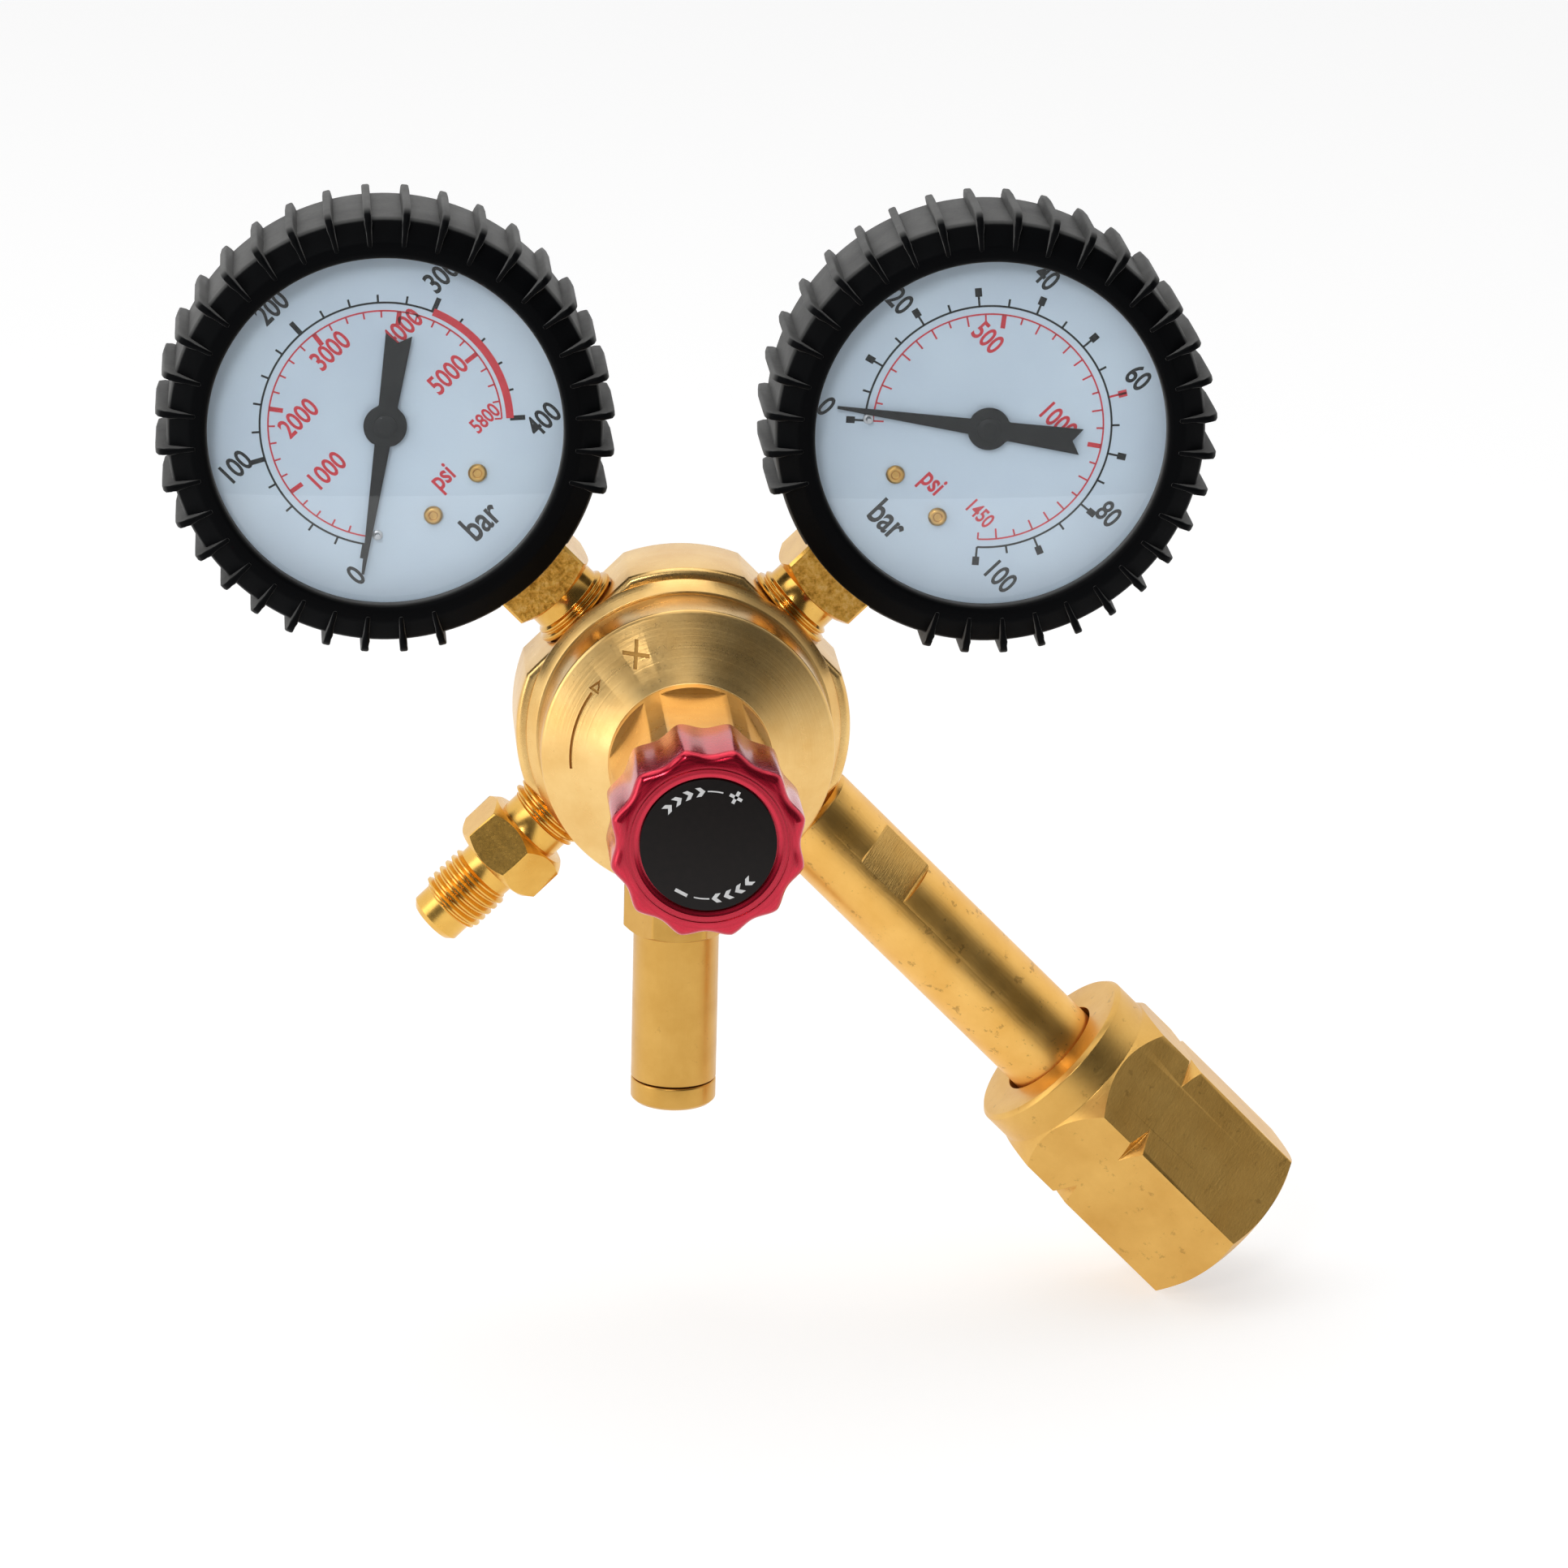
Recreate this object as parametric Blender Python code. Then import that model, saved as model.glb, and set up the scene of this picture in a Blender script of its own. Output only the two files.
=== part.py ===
"""Single-stage hydrogen cylinder regulator with two booted pressure gauges, at real size.

World frame: +Z up, +Y away from someone who looks at the dials, and +X to their right.
The origin is the centre of the regulator body's flat back face. Every piece is made in
the local frame of the axis it is turned about, with +Z pointing away from the body.
"""

import math

import bmesh
import bpy
from mathutils import Matrix, Vector

mm = 0.001
deg = math.pi / 180

# Clearances shared by all pieces
seat_gap = 0.3 * mm
thread_gap = 0.3 * mm
running_gap = 0.35 * mm

# Body block
body_radius = 27.0 * mm
body_thickness = 16.0 * mm
body_chamfer = 1.0 * mm
flat_distance = 24.5 * mm
relief_flat_distance = 25.5 * mm
port_height = 8.0 * mm
lower_ports_raise = 4.95 * mm
upper_ports_raise = 1.0 * mm
collar_radius = 25.4 * mm
collar_front_radius = 23.9 * mm
collar_height = 2.4 * mm
boss_radius = 20.6 * mm
boss_height = 7.5 * mm
chamber_radius = 17.0 * mm
chamber_floor = 16.6 * mm
valve_bore_radius = 6.3 * mm
valve_bore_floor = 11.0 * mm
pressure_chamber_radius = 4.6 * mm
pressure_chamber_floor = 3.5 * mm
passage_radius = 1.5 * mm
port_depth = 8.5 * mm
port_thread_radius = 6.5 * mm
relief_thread_radius = 4.85 * mm
low_passage_inset = 2.5 * mm

# Bonnet and its neck
bonnet_radius = 23.5 * mm
bonnet_front = 28.0 * mm
bonnet_chamfer = 0.5 * mm
bonnet_wall = 2.5 * mm
neck_radius = 13.1 * mm
neck_base = 34.0 * mm
neck_front = 64.5 * mm
neck_chamfer = 0.8 * mm
neck_flat_depth = 1.1 * mm
neck_flats = 2 * (neck_radius - neck_flat_depth)
neck_flats_start = 36.0 * mm
spring_bore_radius = 10.6 * mm
spring_bore_front = 56.0 * mm
bonnet_cavity_radius = 17.6 * mm

# Diaphragm, its plate and the valve
diaphragm_radius = 20.4 * mm
diaphragm_thickness = 0.8 * mm
slip_ring_inner_radius = 17.2 * mm
slip_ring_thickness = 0.8 * mm
plate_radius = 13.0 * mm
plate_thickness = 1.5 * mm
plate_boss_radius = 6.4 * mm
plate_boss_height = 2.0 * mm
seat_flats = 11.0 * mm
seat_head_height = 2.4 * mm
seat_bore_radius = 1.7 * mm
seat_lip_radius = 2.5 * mm
seat_lip_height = 0.7 * mm
poppet_radius = 3.4 * mm
poppet_thickness = 2.6 * mm
poppet_pin_radius = 1.0 * mm
poppet_guide_radius = 1.8 * mm
poppet_guide_length = 1.6 * mm
poppet_spring_wire = 0.35 * mm
valve_travel = 0.6 * mm

# Adjusting spring, its button, the screw and the knob
adjusting_wire = 1.3 * mm
adjusting_coil_radius = 8.7 * mm
adjusting_turns = 6
button_radius = 10.2 * mm
button_thickness = 2.6 * mm
button_boss_radius = 6.2 * mm
button_boss_height = 1.8 * mm
button_front = 54.6 * mm
screw_radius = 4.7 * mm
knob_back = 61.0 * mm
knob_front = 76.5 * mm
knob_web = 3.2 * mm
knob_cavity_clearance = 0.4 * mm
knob_wall = 1.8 * mm
knob_radius = neck_radius + knob_cavity_clearance + knob_wall
scallop_count = 12
scallop_depth = 1.1 * mm
scallop_first = 15 * deg
label_radius = 10.5 * mm
label_thickness = 0.6 * mm

# Inlet stem, nipple and nut, measured along the inlet axis
stem_radius = 8.25 * mm
stem_start = 29.6 * mm
stem_bore_radius = 2.5 * mm
wrench_flats = 14.0 * mm
wrench_start = 39.7 * mm
wrench_end = 50.2 * mm
wrench_angle = 42 * deg
nut_back = 88.0 * mm
nut_front = 130.3 * mm
nut_flats = 31.2 * mm
nut_collar_radius = 15.4 * mm
nut_collar_length = 6.0 * mm
nut_cone_length = 3.2 * mm
nut_wall = 6.0 * mm
nut_stem_gap = 0.75 * mm
nut_hole_radius = stem_radius + nut_stem_gap
nut_notch = 17.0 * mm
nut_notch_width = 3.0 * mm
nut_notch_depth = 1.8 * mm
nut_chamfer = 1.6 * mm
nut_turn = -3.2 * deg
nipple_collar_step = 0.8 * mm
nipple_collar_radius = nut_hole_radius + nipple_collar_step
nut_bore_gap = 0.5 * mm
nut_bore_radius = nipple_collar_radius + nut_bore_gap
nipple_collar_length = 4.0 * mm
nipple_radius = 8.0 * mm
nipple_length = 5.4 * mm
spigot_radius = 4.1 * mm
spigot_length = 1.6 * mm
gasket_thickness = 2.0 * mm
gasket_radius = 7.7 * mm
filter_radius = 4.2 * mm
filter_length = 7.0 * mm

# Outlet fitting, measured along the outlet axis
outlet_hex_start = 34.4 * mm
outlet_hex_end = 42.4 * mm
outlet_flats = 15.0 * mm
outlet_neck_radius = 5.6 * mm
outlet_thread_radius = 5.55 * mm
outlet_thread_start = 44.9 * mm
outlet_thread_end = 52.6 * mm
outlet_end = 56.6 * mm
outlet_shank_length = 31.6 * mm
outlet_chamfer = 1.3 * mm
outlet_turn = -3 * deg
outlet_nose_radius = 4.6 * mm
outlet_bore_radius = 2.4 * mm

# Relief valve, measured down from the knob axis
relief_hex_start = 26.0 * mm
relief_hex_end = 36.4 * mm
relief_flats = 15.0 * mm
relief_tube_radius = 7.0 * mm
relief_tube_end = 61.6 * mm
relief_end = 65.8 * mm
relief_bore_radius = 5.2 * mm
relief_seat_radius = 1.5 * mm
relief_seat_height = 38.5 * mm
relief_poppet_radius = 4.6 * mm
relief_poppet_thickness = 2.4 * mm
relief_travel = 1.2 * mm
relief_wire = 0.55 * mm
relief_coil_radius = 3.7 * mm
relief_vent_radius = 1.6 * mm

# Gauges: heights are measured forwards from the port plane
gauge_reach = 68.2 * mm
boot_front = 9.0 * mm
boot_back = -12.8 * mm
boot_rib_width = 1.3 * mm
boot_rib_count = 36
boot_ribs_left_out = 2
case_radius = 32.0 * mm
boot_wall = 2.6 * mm
boot_radius = case_radius + boot_wall
boot_rib_height = 1.9 * mm
boot_rib_radius = boot_radius + boot_rib_height
boot_back_lip = 6.0 * mm
boot_back_opening = case_radius - boot_back_lip
case_wall = 1.0 * mm
case_back = -10.5 * mm
case_front = 6.4 * mm
lens_thickness = 2.0 * mm
lens_rim = 1.4 * mm
lens_radius = case_radius - lens_rim
boot_front_lip = 2.4 * mm
boot_window_radius = lens_radius - boot_front_lip
dial_rim = 1.2 * mm
dial_radius = lens_radius - dial_rim
dial_thickness = 0.5 * mm
dial_face = 2.4 * mm
rivet_x = 4.9 * mm
rivet_y = -15.8 * mm
rivet_head_radius = 1.5 * mm
rivet_shank_radius = 0.6 * mm
pointer_height = 3.3 * mm
pointer_thickness = 0.4 * mm
pointer_length = 24.5 * mm
pointer_tail = 15.0 * mm
pointer_hub_radius = 3.45 * mm
pointer_tail_width = 4.2 * mm
pointer_rest = 233 * deg
stop_pin_angle = 228.5 * deg
stop_pin_reach = 18.6 * mm
socket_square = 14.0 * mm
socket_square_start = 28.7 * mm
socket_neck_radius = 6.1 * mm
socket_ring_radius = 7.4 * mm
socket_tongue_width = 12.0 * mm
socket_tongue_front = -0.9 * mm
socket_tongue_back = -5.1 * mm
socket_tongue_top = -21.3 * mm
vent_plug_radius = 3.6 * mm

# Gauge movement
gear_module = 0.3 * mm
pinion_teeth = 12
sector_teeth_round = 84
sector_teeth_cut = 14
pressure_angle = 20 * deg
gear_backlash = 0.1 * mm
sector_front = -2.9 * mm
sector_thickness = 1.0 * mm
sector_travel = 37.4 * deg
tail_length = 5.0 * mm
arbor_radius = 0.7 * mm
link_pin_radius = 0.5 * mm
link_thickness = 0.5 * mm
tip_pin_x = 19.6 * mm
tip_pin_y = -6.5 * mm
tube_radius = 23.5 * mm
tube_width = 2.4 * mm
tube_height = 7.0 * mm
tube_middle = -3.4 * mm
tube_start = 252 * deg
tube_end = -13 * deg
movement_width = 15.0 * mm
movement_top = 5.4 * mm
movement_front = 0.4 * mm
movement_back = -6.4 * mm
movement_plate = 1.0 * mm

# Facets round each kind of turned piece
large_round = 32
middle_round = 18
small_round = 12
tiny_round = 8

pinion_pitch_radius = gear_module * pinion_teeth / 2
sector_pitch_radius = gear_module * sector_teeth_round / 2
sector_pivot_y = -(pinion_pitch_radius + sector_pitch_radius)

finishes = {
    "satin brass": ((0.74, 0.55, 0.30), 1.0, 0.38),
    "bright brass": ((0.85, 0.64, 0.26), 1.0, 0.22),
    "black rubber": ((0.02, 0.02, 0.022), 0.0, 0.6),
    "steel": ((0.62, 0.62, 0.63), 1.0, 0.35),
    "bronze": ((0.45, 0.30, 0.18), 1.0, 0.5),
    "diaphragm rubber": ((0.05, 0.05, 0.05), 0.0, 0.7),
    "red anodised": ((0.75, 0.02, 0.06), 0.7, 0.3),
    "label black": ((0.02, 0.02, 0.025), 0.0, 0.4),
    "dial white": ((0.80, 0.84, 0.90), 0.0, 0.5),
    "pointer black": ((0.01, 0.01, 0.01), 0.0, 0.5),
    "clear window": ((0.95, 0.97, 1.0), 0.0, 0.05),
    "white nylon": ((0.85, 0.84, 0.80), 0.0, 0.5),
}


def clear_scene():
    for old in list(bpy.data.objects):
        bpy.data.objects.remove(old, do_unlink=True)


def finish(name):
    """The named material, made once and shared by the pieces that have it."""
    if name in bpy.data.materials:
        return bpy.data.materials[name]
    colour, metallic, roughness = finishes[name]
    made = bpy.data.materials.new(name)
    made.use_nodes = True
    shader = made.node_tree.nodes["Principled BSDF"]
    shader.inputs["Base Color"].default_value = (*colour, 1)
    shader.inputs["Metallic"].default_value = metallic
    shader.inputs["Roughness"].default_value = roughness
    if name == "clear window":
        shader.inputs["Transmission Weight"].default_value = 1.0
    made.diffuse_color = (*colour, 1)
    return made


def axis_frame(name, matrix, parent=None):
    """An empty that carries the pieces turned about, or moving about, one axis."""
    empty = bpy.data.objects.new(name, None)
    empty.empty_display_size = 5 * mm
    bpy.context.scene.collection.objects.link(empty)
    empty.parent = parent
    empty.matrix_local = matrix
    return empty


def place(name, bm, frame, look=None):
    """Makes the bmesh an object in a frame: a piece with its finish, or a hidden tool."""
    bmesh.ops.remove_doubles(bm, verts=bm.verts, dist=1e-7)
    bmesh.ops.dissolve_degenerate(bm, edges=bm.edges, dist=1e-7)
    bmesh.ops.recalc_face_normals(bm, faces=bm.faces)
    mesh = bpy.data.meshes.new(name)
    bm.to_mesh(mesh)
    bm.free()
    made = bpy.data.objects.new(name, mesh)
    bpy.context.scene.collection.objects.link(made)
    made.parent = frame
    if look is None:
        made.hide_render = True
        made.display_type = "WIRE"
        return made
    mesh.materials.append(finish(look))
    mesh.shade_smooth()
    mesh.set_sharp_from_angle(angle=30 * deg)
    return made


def boolean(piece, tool, operation):
    made = piece.modifiers.new(operation.lower() + " " + tool.name, "BOOLEAN")
    made.operation = operation
    made.object = tool
    made.solver = "EXACT"


def cut(piece, tool):
    boolean(piece, tool, "DIFFERENCE")


def fuse(piece, tool):
    boolean(piece, tool, "UNION")


def turned(profile, segments, closed=False):
    """Spins (radius, height) points about Z. A closed profile makes a ring."""
    bm = bmesh.new()
    points = [bm.verts.new((radius, 0, height)) for radius, height in profile]
    edges = [bm.edges.new(pair) for pair in zip(points, points[1:])]
    if closed:
        edges.append(bm.edges.new((points[-1], points[0])))
    bmesh.ops.spin(
        bm,
        geom=points + edges,
        cent=(0, 0, 0),
        axis=(0, 0, 1),
        angle=2 * math.pi,
        steps=segments,
        use_merge=True,
    )
    return bm


def circle(radius, segments, start=0.0, centre=(0.0, 0.0)):
    step = 2 * math.pi / segments
    return [
        (
            centre[0] + radius * math.cos(start + i * step),
            centre[1] + radius * math.sin(start + i * step),
        )
        for i in range(segments)
    ]


def lofted(bm, sections):
    """Adds one closed solid through (outline, height) sections with equal point counts."""
    rings = [
        [bm.verts.new((x, y, height)) for x, y in outline]
        for outline, height in sections
    ]
    count = len(rings[0])
    for low, high in zip(rings, rings[1:]):
        for i in range(count):
            j = (i + 1) % count
            bm.faces.new((low[i], low[j], high[j], high[i]))
    bm.faces.new(rings[0][::-1])
    bm.faces.new(rings[-1])
    return bm


def prism(outline, bottom, top):
    return lofted(bmesh.new(), [(outline, bottom), (outline, top)])


def flats_tool(name, frame, sides, across, bottom, top, reach, turn=0.0):
    """A sleeve with a round outside and a many-sided hole, which mills flats."""
    per_side = 6
    count = sides * per_side
    inside = []
    outside = circle(reach, count, turn)
    for i in range(count):
        angle = 2 * math.pi * i / count
        off_flat = (angle % (2 * math.pi / sides)) - math.pi / sides
        radius = across / 2 / math.cos(off_flat)
        inside.append((radius * math.cos(angle + turn), radius * math.sin(angle + turn)))
    bm = bmesh.new()
    loops = [
        [bm.verts.new((x, y, height)) for x, y in outline]
        for outline, height in ((outside, bottom), (outside, top), (inside, top), (inside, bottom))
    ]
    for low, high in zip(loops, loops[1:] + loops[:1]):
        for i in range(count):
            j = (i + 1) % count
            bm.faces.new((low[i], low[j], high[j], high[i]))
    return place(name, bm, frame)


def block(name, frame, low, high, look=None):
    outline = [(low[0], low[1]), (high[0], low[1]), (high[0], high[1]), (low[0], high[1])]
    return place(name, prism(outline, low[2], high[2]), frame, look)


def rod(name, frame, radius, bottom, top, segments, centre=(0.0, 0.0)):
    """A hidden round tool that adds a pin or cuts a hole."""
    return place(name, prism(circle(radius, segments, centre=centre), bottom, top), frame)


def coil(name, frame, look, wire, radius, low, high, turns, steps):
    """A round-wire compression spring between two heights, with its ends cut square."""
    curve = bpy.data.curves.new(name, "CURVE")
    curve.dimensions = "3D"
    curve.bevel_depth = wire
    curve.bevel_resolution = 1
    curve.use_fill_caps = True
    spline = curve.splines.new("POLY")
    count = turns * steps + 1
    spline.points.add(count - 1)
    rise = (high - low - 2 * wire) / (count - 1)
    for i, point in enumerate(spline.points):
        angle = 2 * math.pi * i / steps
        point.co = (radius * math.cos(angle), radius * math.sin(angle), low + wire + rise * i, 1)
    curve.materials.append(finish(look))
    made = bpy.data.objects.new(name, curve)
    bpy.context.scene.collection.objects.link(made)
    made.parent = frame
    return made


def port_matrix(direction, raised):
    """Local Z runs out along the port and local X points away from the viewer."""
    z = Vector(direction).normalized()
    x = Vector((0, 1, 0))
    y = z.cross(x)
    turn = Matrix((x, y, z)).transposed().to_4x4()
    return Matrix.Translation((0, -port_height, raised)) @ turn


def gauge_matrix(side):
    """Local Z faces the viewer and local Y points to 12 o'clock, away from the body."""
    z = Vector((0, -1, 0))
    y = Vector((side, 0, 1)).normalized()
    x = y.cross(z)
    centre = Vector((0, -port_height, upper_ports_raise)) + gauge_reach * y
    return Matrix.Translation(centre) @ Matrix((x, y, z)).transposed().to_4x4()


def flatted_outline(radius, flats, step):
    """A circle with chords cut at the given (direction, distance) pairs."""
    points = []
    spans = [(turn, math.acos(distance / radius)) for turn, distance in flats]
    for i, (turn, half) in enumerate(spans):
        next_turn, next_half = spans[(i + 1) % len(spans)]
        start = turn + half
        end = next_turn - next_half + (2 * math.pi if i == len(spans) - 1 else 0)
        if end <= start:
            points.append(meeting_point(flats[i], flats[(i + 1) % len(flats)]))
            continue
        count = max(2, round((end - start) / step))
        for k in range(count + 1):
            angle = start + (end - start) * k / count
            points.append((radius * math.cos(angle), radius * math.sin(angle)))
    return points


def meeting_point(flat, next_flat):
    """Where two neighbouring flats cross, when they are too wide to leave an arc between them."""
    (turn, distance), (next_turn, next_distance) = flat, next_flat
    spread = math.sin(next_turn - turn)
    x = (distance * math.sin(next_turn) - next_distance * math.sin(turn)) / spread
    y = (next_distance * math.cos(turn) - distance * math.cos(next_turn)) / spread
    return (x, y)


def scaled(outline, factor):
    return [(x * factor, y * factor) for x, y in outline]


def port_flat(raised, upward):
    """Distance along a 45 degree port axis from its crossing point to the body's flat."""
    along = raised / math.sqrt(2)
    return flat_distance - along if upward else flat_distance + along


def make_body(frames):
    knob_axis = frames["knob"]
    flats = [
        (45 * deg, flat_distance),
        (135 * deg, flat_distance),
        (225 * deg, flat_distance),
        (270 * deg, relief_flat_distance),
        (315 * deg, flat_distance),
    ]
    outline = flatted_outline(body_radius, flats, 7.5 * deg)
    inner = scaled(outline, 1 - body_chamfer / body_radius)
    back = scaled(outline, 1 - 0.5 * body_chamfer / body_radius)
    sections = [
        (back, 0),
        (outline, 0.5 * body_chamfer),
        (outline, body_thickness - body_chamfer),
        (inner, body_thickness),
    ]
    body = place("body", lofted(bmesh.new(), sections), knob_axis, "satin brass")
    root = body_thickness - body_chamfer
    inset = collar_front_radius - 1 * mm
    boss = [
        (0, root),
        (inset, root),
        (inset, body_thickness - 0.1 * mm),
        (collar_radius, body_thickness - 0.1 * mm),
        (collar_radius, body_thickness + 0.3 * mm),
        (collar_front_radius, body_thickness + collar_height),
        (boss_radius, body_thickness + collar_height),
        (boss_radius, body_thickness + boss_height),
        (0, body_thickness + boss_height),
    ]
    fuse(body, place("body boss", turned(boss, large_round), knob_axis))
    beyond = body_thickness + boss_height + 2 * mm
    chamber = [
        (0, pressure_chamber_floor),
        (pressure_chamber_radius, pressure_chamber_floor),
        (pressure_chamber_radius, valve_bore_floor),
        (valve_bore_radius, valve_bore_floor),
        (valve_bore_radius, chamber_floor),
        (chamber_radius, chamber_floor),
        (chamber_radius, beyond),
        (0, beyond),
    ]
    cut(body, place("body chamber", turned(chamber, middle_round), knob_axis))
    upper = port_flat(upper_ports_raise, True)
    lower = port_flat(lower_ports_raise, False)
    high_side = 0.0
    cut_port(body, frames["contents_stem"], upper, port_thread_radius, high_side)
    cut_port(body, frames["inlet"], lower, port_thread_radius, high_side)
    for name, flat, radius in (
        ("working_stem", upper, port_thread_radius),
        ("outlet", lower, port_thread_radius),
        ("relief", relief_flat_distance, relief_thread_radius),
    ):
        inner_end = flat - port_depth - low_passage_inset
        cut_port(body, frames[name], flat, radius, inner_end - passage_radius)
        riser = circle(passage_radius, tiny_round, centre=(0, 0))
        tool = place(name + " riser", prism(riser, -1 * mm, chamber_floor), frames[name])
        tool.matrix_local = Matrix.Translation((0, 0, inner_end)) @ Matrix.Rotation(-90 * deg, 4, "Y")
        cut(body, tool)


def cut_port(body, frame, flat, thread_radius, inner_end):
    """A threaded port with its narrower gas passage, drilled in from a flat."""
    radius = thread_radius + thread_gap
    bottom = flat - port_depth
    port = [
        (0, inner_end),
        (passage_radius, inner_end),
        (passage_radius, bottom),
        (radius, bottom),
        (radius, flat + 3 * mm),
        (0, flat + 3 * mm),
    ]
    cut(body, place(frame.name + " port", turned(port, middle_round), frame))


def make_bonnet(frame):
    skirt_back = body_thickness + collar_height + seat_gap
    shoulder = diaphragm_back() + diaphragm_thickness + slip_ring_thickness + 2 * seat_gap
    skirt_bore = boss_radius + thread_gap
    cavity_end = neck_base - bonnet_wall
    profile = [
        (skirt_bore, skirt_back),
        (bonnet_radius, skirt_back),
        (bonnet_radius, bonnet_front - bonnet_chamfer),
        (bonnet_radius - bonnet_chamfer, bonnet_front),
        (neck_radius, neck_base),
        (neck_radius, neck_front - neck_chamfer),
        (neck_radius - neck_chamfer, neck_front),
        (screw_radius + thread_gap, neck_front),
        (screw_radius + thread_gap, spring_bore_front),
        (spring_bore_radius, spring_bore_front),
        (spring_bore_radius, cavity_end),
        (bonnet_cavity_radius, shoulder + 0.8 * mm),
        (bonnet_cavity_radius, shoulder),
        (skirt_bore, shoulder),
    ]
    bonnet = place("bonnet", turned(profile, large_round, True), frame, "satin brass")
    hexagon = flats_tool(
        "neck flats", frame, 6, neck_flats, neck_flats_start, neck_front + 1 * mm, neck_radius + 2.9 * mm
    )
    cut(bonnet, hexagon)


def diaphragm_back():
    return body_thickness + boss_height + seat_gap


def plate_back():
    return diaphragm_back() + diaphragm_thickness + seat_gap


def make_diaphragm_stack(frame):
    back = diaphragm_back()
    front = back + diaphragm_thickness
    sheet = [(0, back), (diaphragm_radius, back), (diaphragm_radius, front), (0, front)]
    place("diaphragm", turned(sheet, middle_round), frame, "diaphragm rubber")
    low = front + seat_gap
    high = low + slip_ring_thickness
    ring = [
        (slip_ring_inner_radius, low),
        (diaphragm_radius, low),
        (diaphragm_radius, high),
        (slip_ring_inner_radius, high),
    ]
    place("slip_ring", turned(ring, middle_round, True), frame, "steel")
    plate_front = low + plate_thickness
    boss_front = plate_front + plate_boss_height
    plate = [
        (0, low),
        (plate_radius, low),
        (plate_radius, plate_front),
        (plate_boss_radius, plate_front),
        (plate_boss_radius, boss_front),
        (0, boss_front),
    ]
    place("diaphragm_plate", turned(plate, middle_round), frame, "steel")


def make_valve(frame):
    back = valve_bore_floor + seat_gap
    head = chamber_floor + seat_gap
    corner = seat_flats / 2 / math.cos(30 * deg)
    outer = valve_bore_radius - thread_gap
    lip = back - seat_lip_height
    profile = [
        (seat_bore_radius, lip),
        (seat_lip_radius, lip),
        (seat_lip_radius + 0.8 * mm, back),
        (outer, back),
        (outer, head),
        (corner, head),
        (corner, head + seat_head_height - 0.5 * mm),
        (corner - 0.6 * mm, head + seat_head_height),
        (seat_bore_radius, head + seat_head_height),
    ]
    seat = place("valve_seat", turned(profile, small_round, True), frame, "bright brass")
    cut(
        seat,
        flats_tool("seat flats", frame, 6, seat_flats, head, head + 3 * mm, 9 * mm),
    )
    top = lip - seat_gap
    bottom = top - poppet_thickness
    poppet = [
        (0, bottom - poppet_guide_length),
        (poppet_guide_radius, bottom - poppet_guide_length),
        (poppet_guide_radius, bottom),
        (poppet_radius, bottom),
        (poppet_radius, top - 0.6 * mm),
        (poppet_radius - 0.6 * mm, top),
        (poppet_pin_radius, top),
        (poppet_pin_radius, diaphragm_back() - seat_gap),
        (0, diaphragm_back() - seat_gap),
    ]
    place("poppet", turned(poppet, small_round), frame, "steel")
    coil(
        "poppet_spring",
        frame,
        "steel",
        poppet_spring_wire,
        poppet_guide_radius + poppet_spring_wire + 0.4 * mm,
        pressure_chamber_floor + seat_gap,
        bottom - seat_gap,
        3,
        8,
    )


def make_adjuster(frame):
    front = button_front
    back = front - button_thickness
    boss = back - button_boss_height
    button = [
        (0, boss),
        (button_boss_radius, boss),
        (button_boss_radius, back),
        (button_radius, back),
        (button_radius, front),
        (0, front),
    ]
    place("spring_button", turned(button, middle_round), frame, "steel")
    coil(
        "adjusting_spring",
        frame,
        "steel",
        adjusting_wire,
        adjusting_coil_radius,
        plate_back() + plate_thickness + seat_gap,
        back - seat_gap,
        adjusting_turns,
        10,
    )
    label_back = knob_front - label_thickness
    web_front = label_back - seat_gap
    web_back = web_front - knob_web
    screw_back = front + seat_gap
    screw = [
        (0, screw_back),
        (screw_radius - 1.2 * mm, screw_back),
        (screw_radius, screw_back + 1.2 * mm),
        (screw_radius, web_front - seat_gap),
        (0, web_front - seat_gap),
    ]
    place("adjusting_screw", turned(screw, small_round), frame, "steel")
    make_knob(frame, web_back, web_front)
    label = [
        (0, label_back),
        (label_radius, label_back),
        (label_radius, knob_front),
        (0, knob_front),
    ]
    place("knob_label", turned(label, middle_round), frame, "label black")


def scalloped(radius, depth, segments):
    """A round outline with equal concave scallops between narrow crests."""
    points = []
    for i in range(segments):
        angle = 2 * math.pi * i / segments
        wave = abs(math.sin(scallop_count / 2 * (angle - scallop_first)))
        reach = radius - depth * wave
        points.append((reach * math.cos(angle), reach * math.sin(angle)))
    return points


def make_knob(frame, web_back, web_front):
    segments = scallop_count * 6
    cavity = neck_radius + knob_cavity_clearance
    edge = 0.8 * mm
    sections = [
        (scalloped(knob_radius - edge, scallop_depth, segments), knob_back),
        (scalloped(knob_radius, scallop_depth, segments), knob_back + edge),
        (scalloped(knob_radius, scallop_depth, segments), knob_front - edge),
        (scalloped(knob_radius - edge, scallop_depth, segments), knob_front),
    ]
    knob = place("knob", lofted(bmesh.new(), sections), frame, "red anodised")
    hollow = [
        (0, knob_back - 1 * mm),
        (cavity, knob_back - 1 * mm),
        (cavity, web_back),
        (screw_radius + seat_gap, web_back),
        (screw_radius + seat_gap, web_front),
        (label_radius + seat_gap, web_front),
        (label_radius + seat_gap, knob_front + 1 * mm),
        (0, knob_front + 1 * mm),
    ]
    cut(knob, place("knob hollow", turned(hollow, middle_round), frame))


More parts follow.
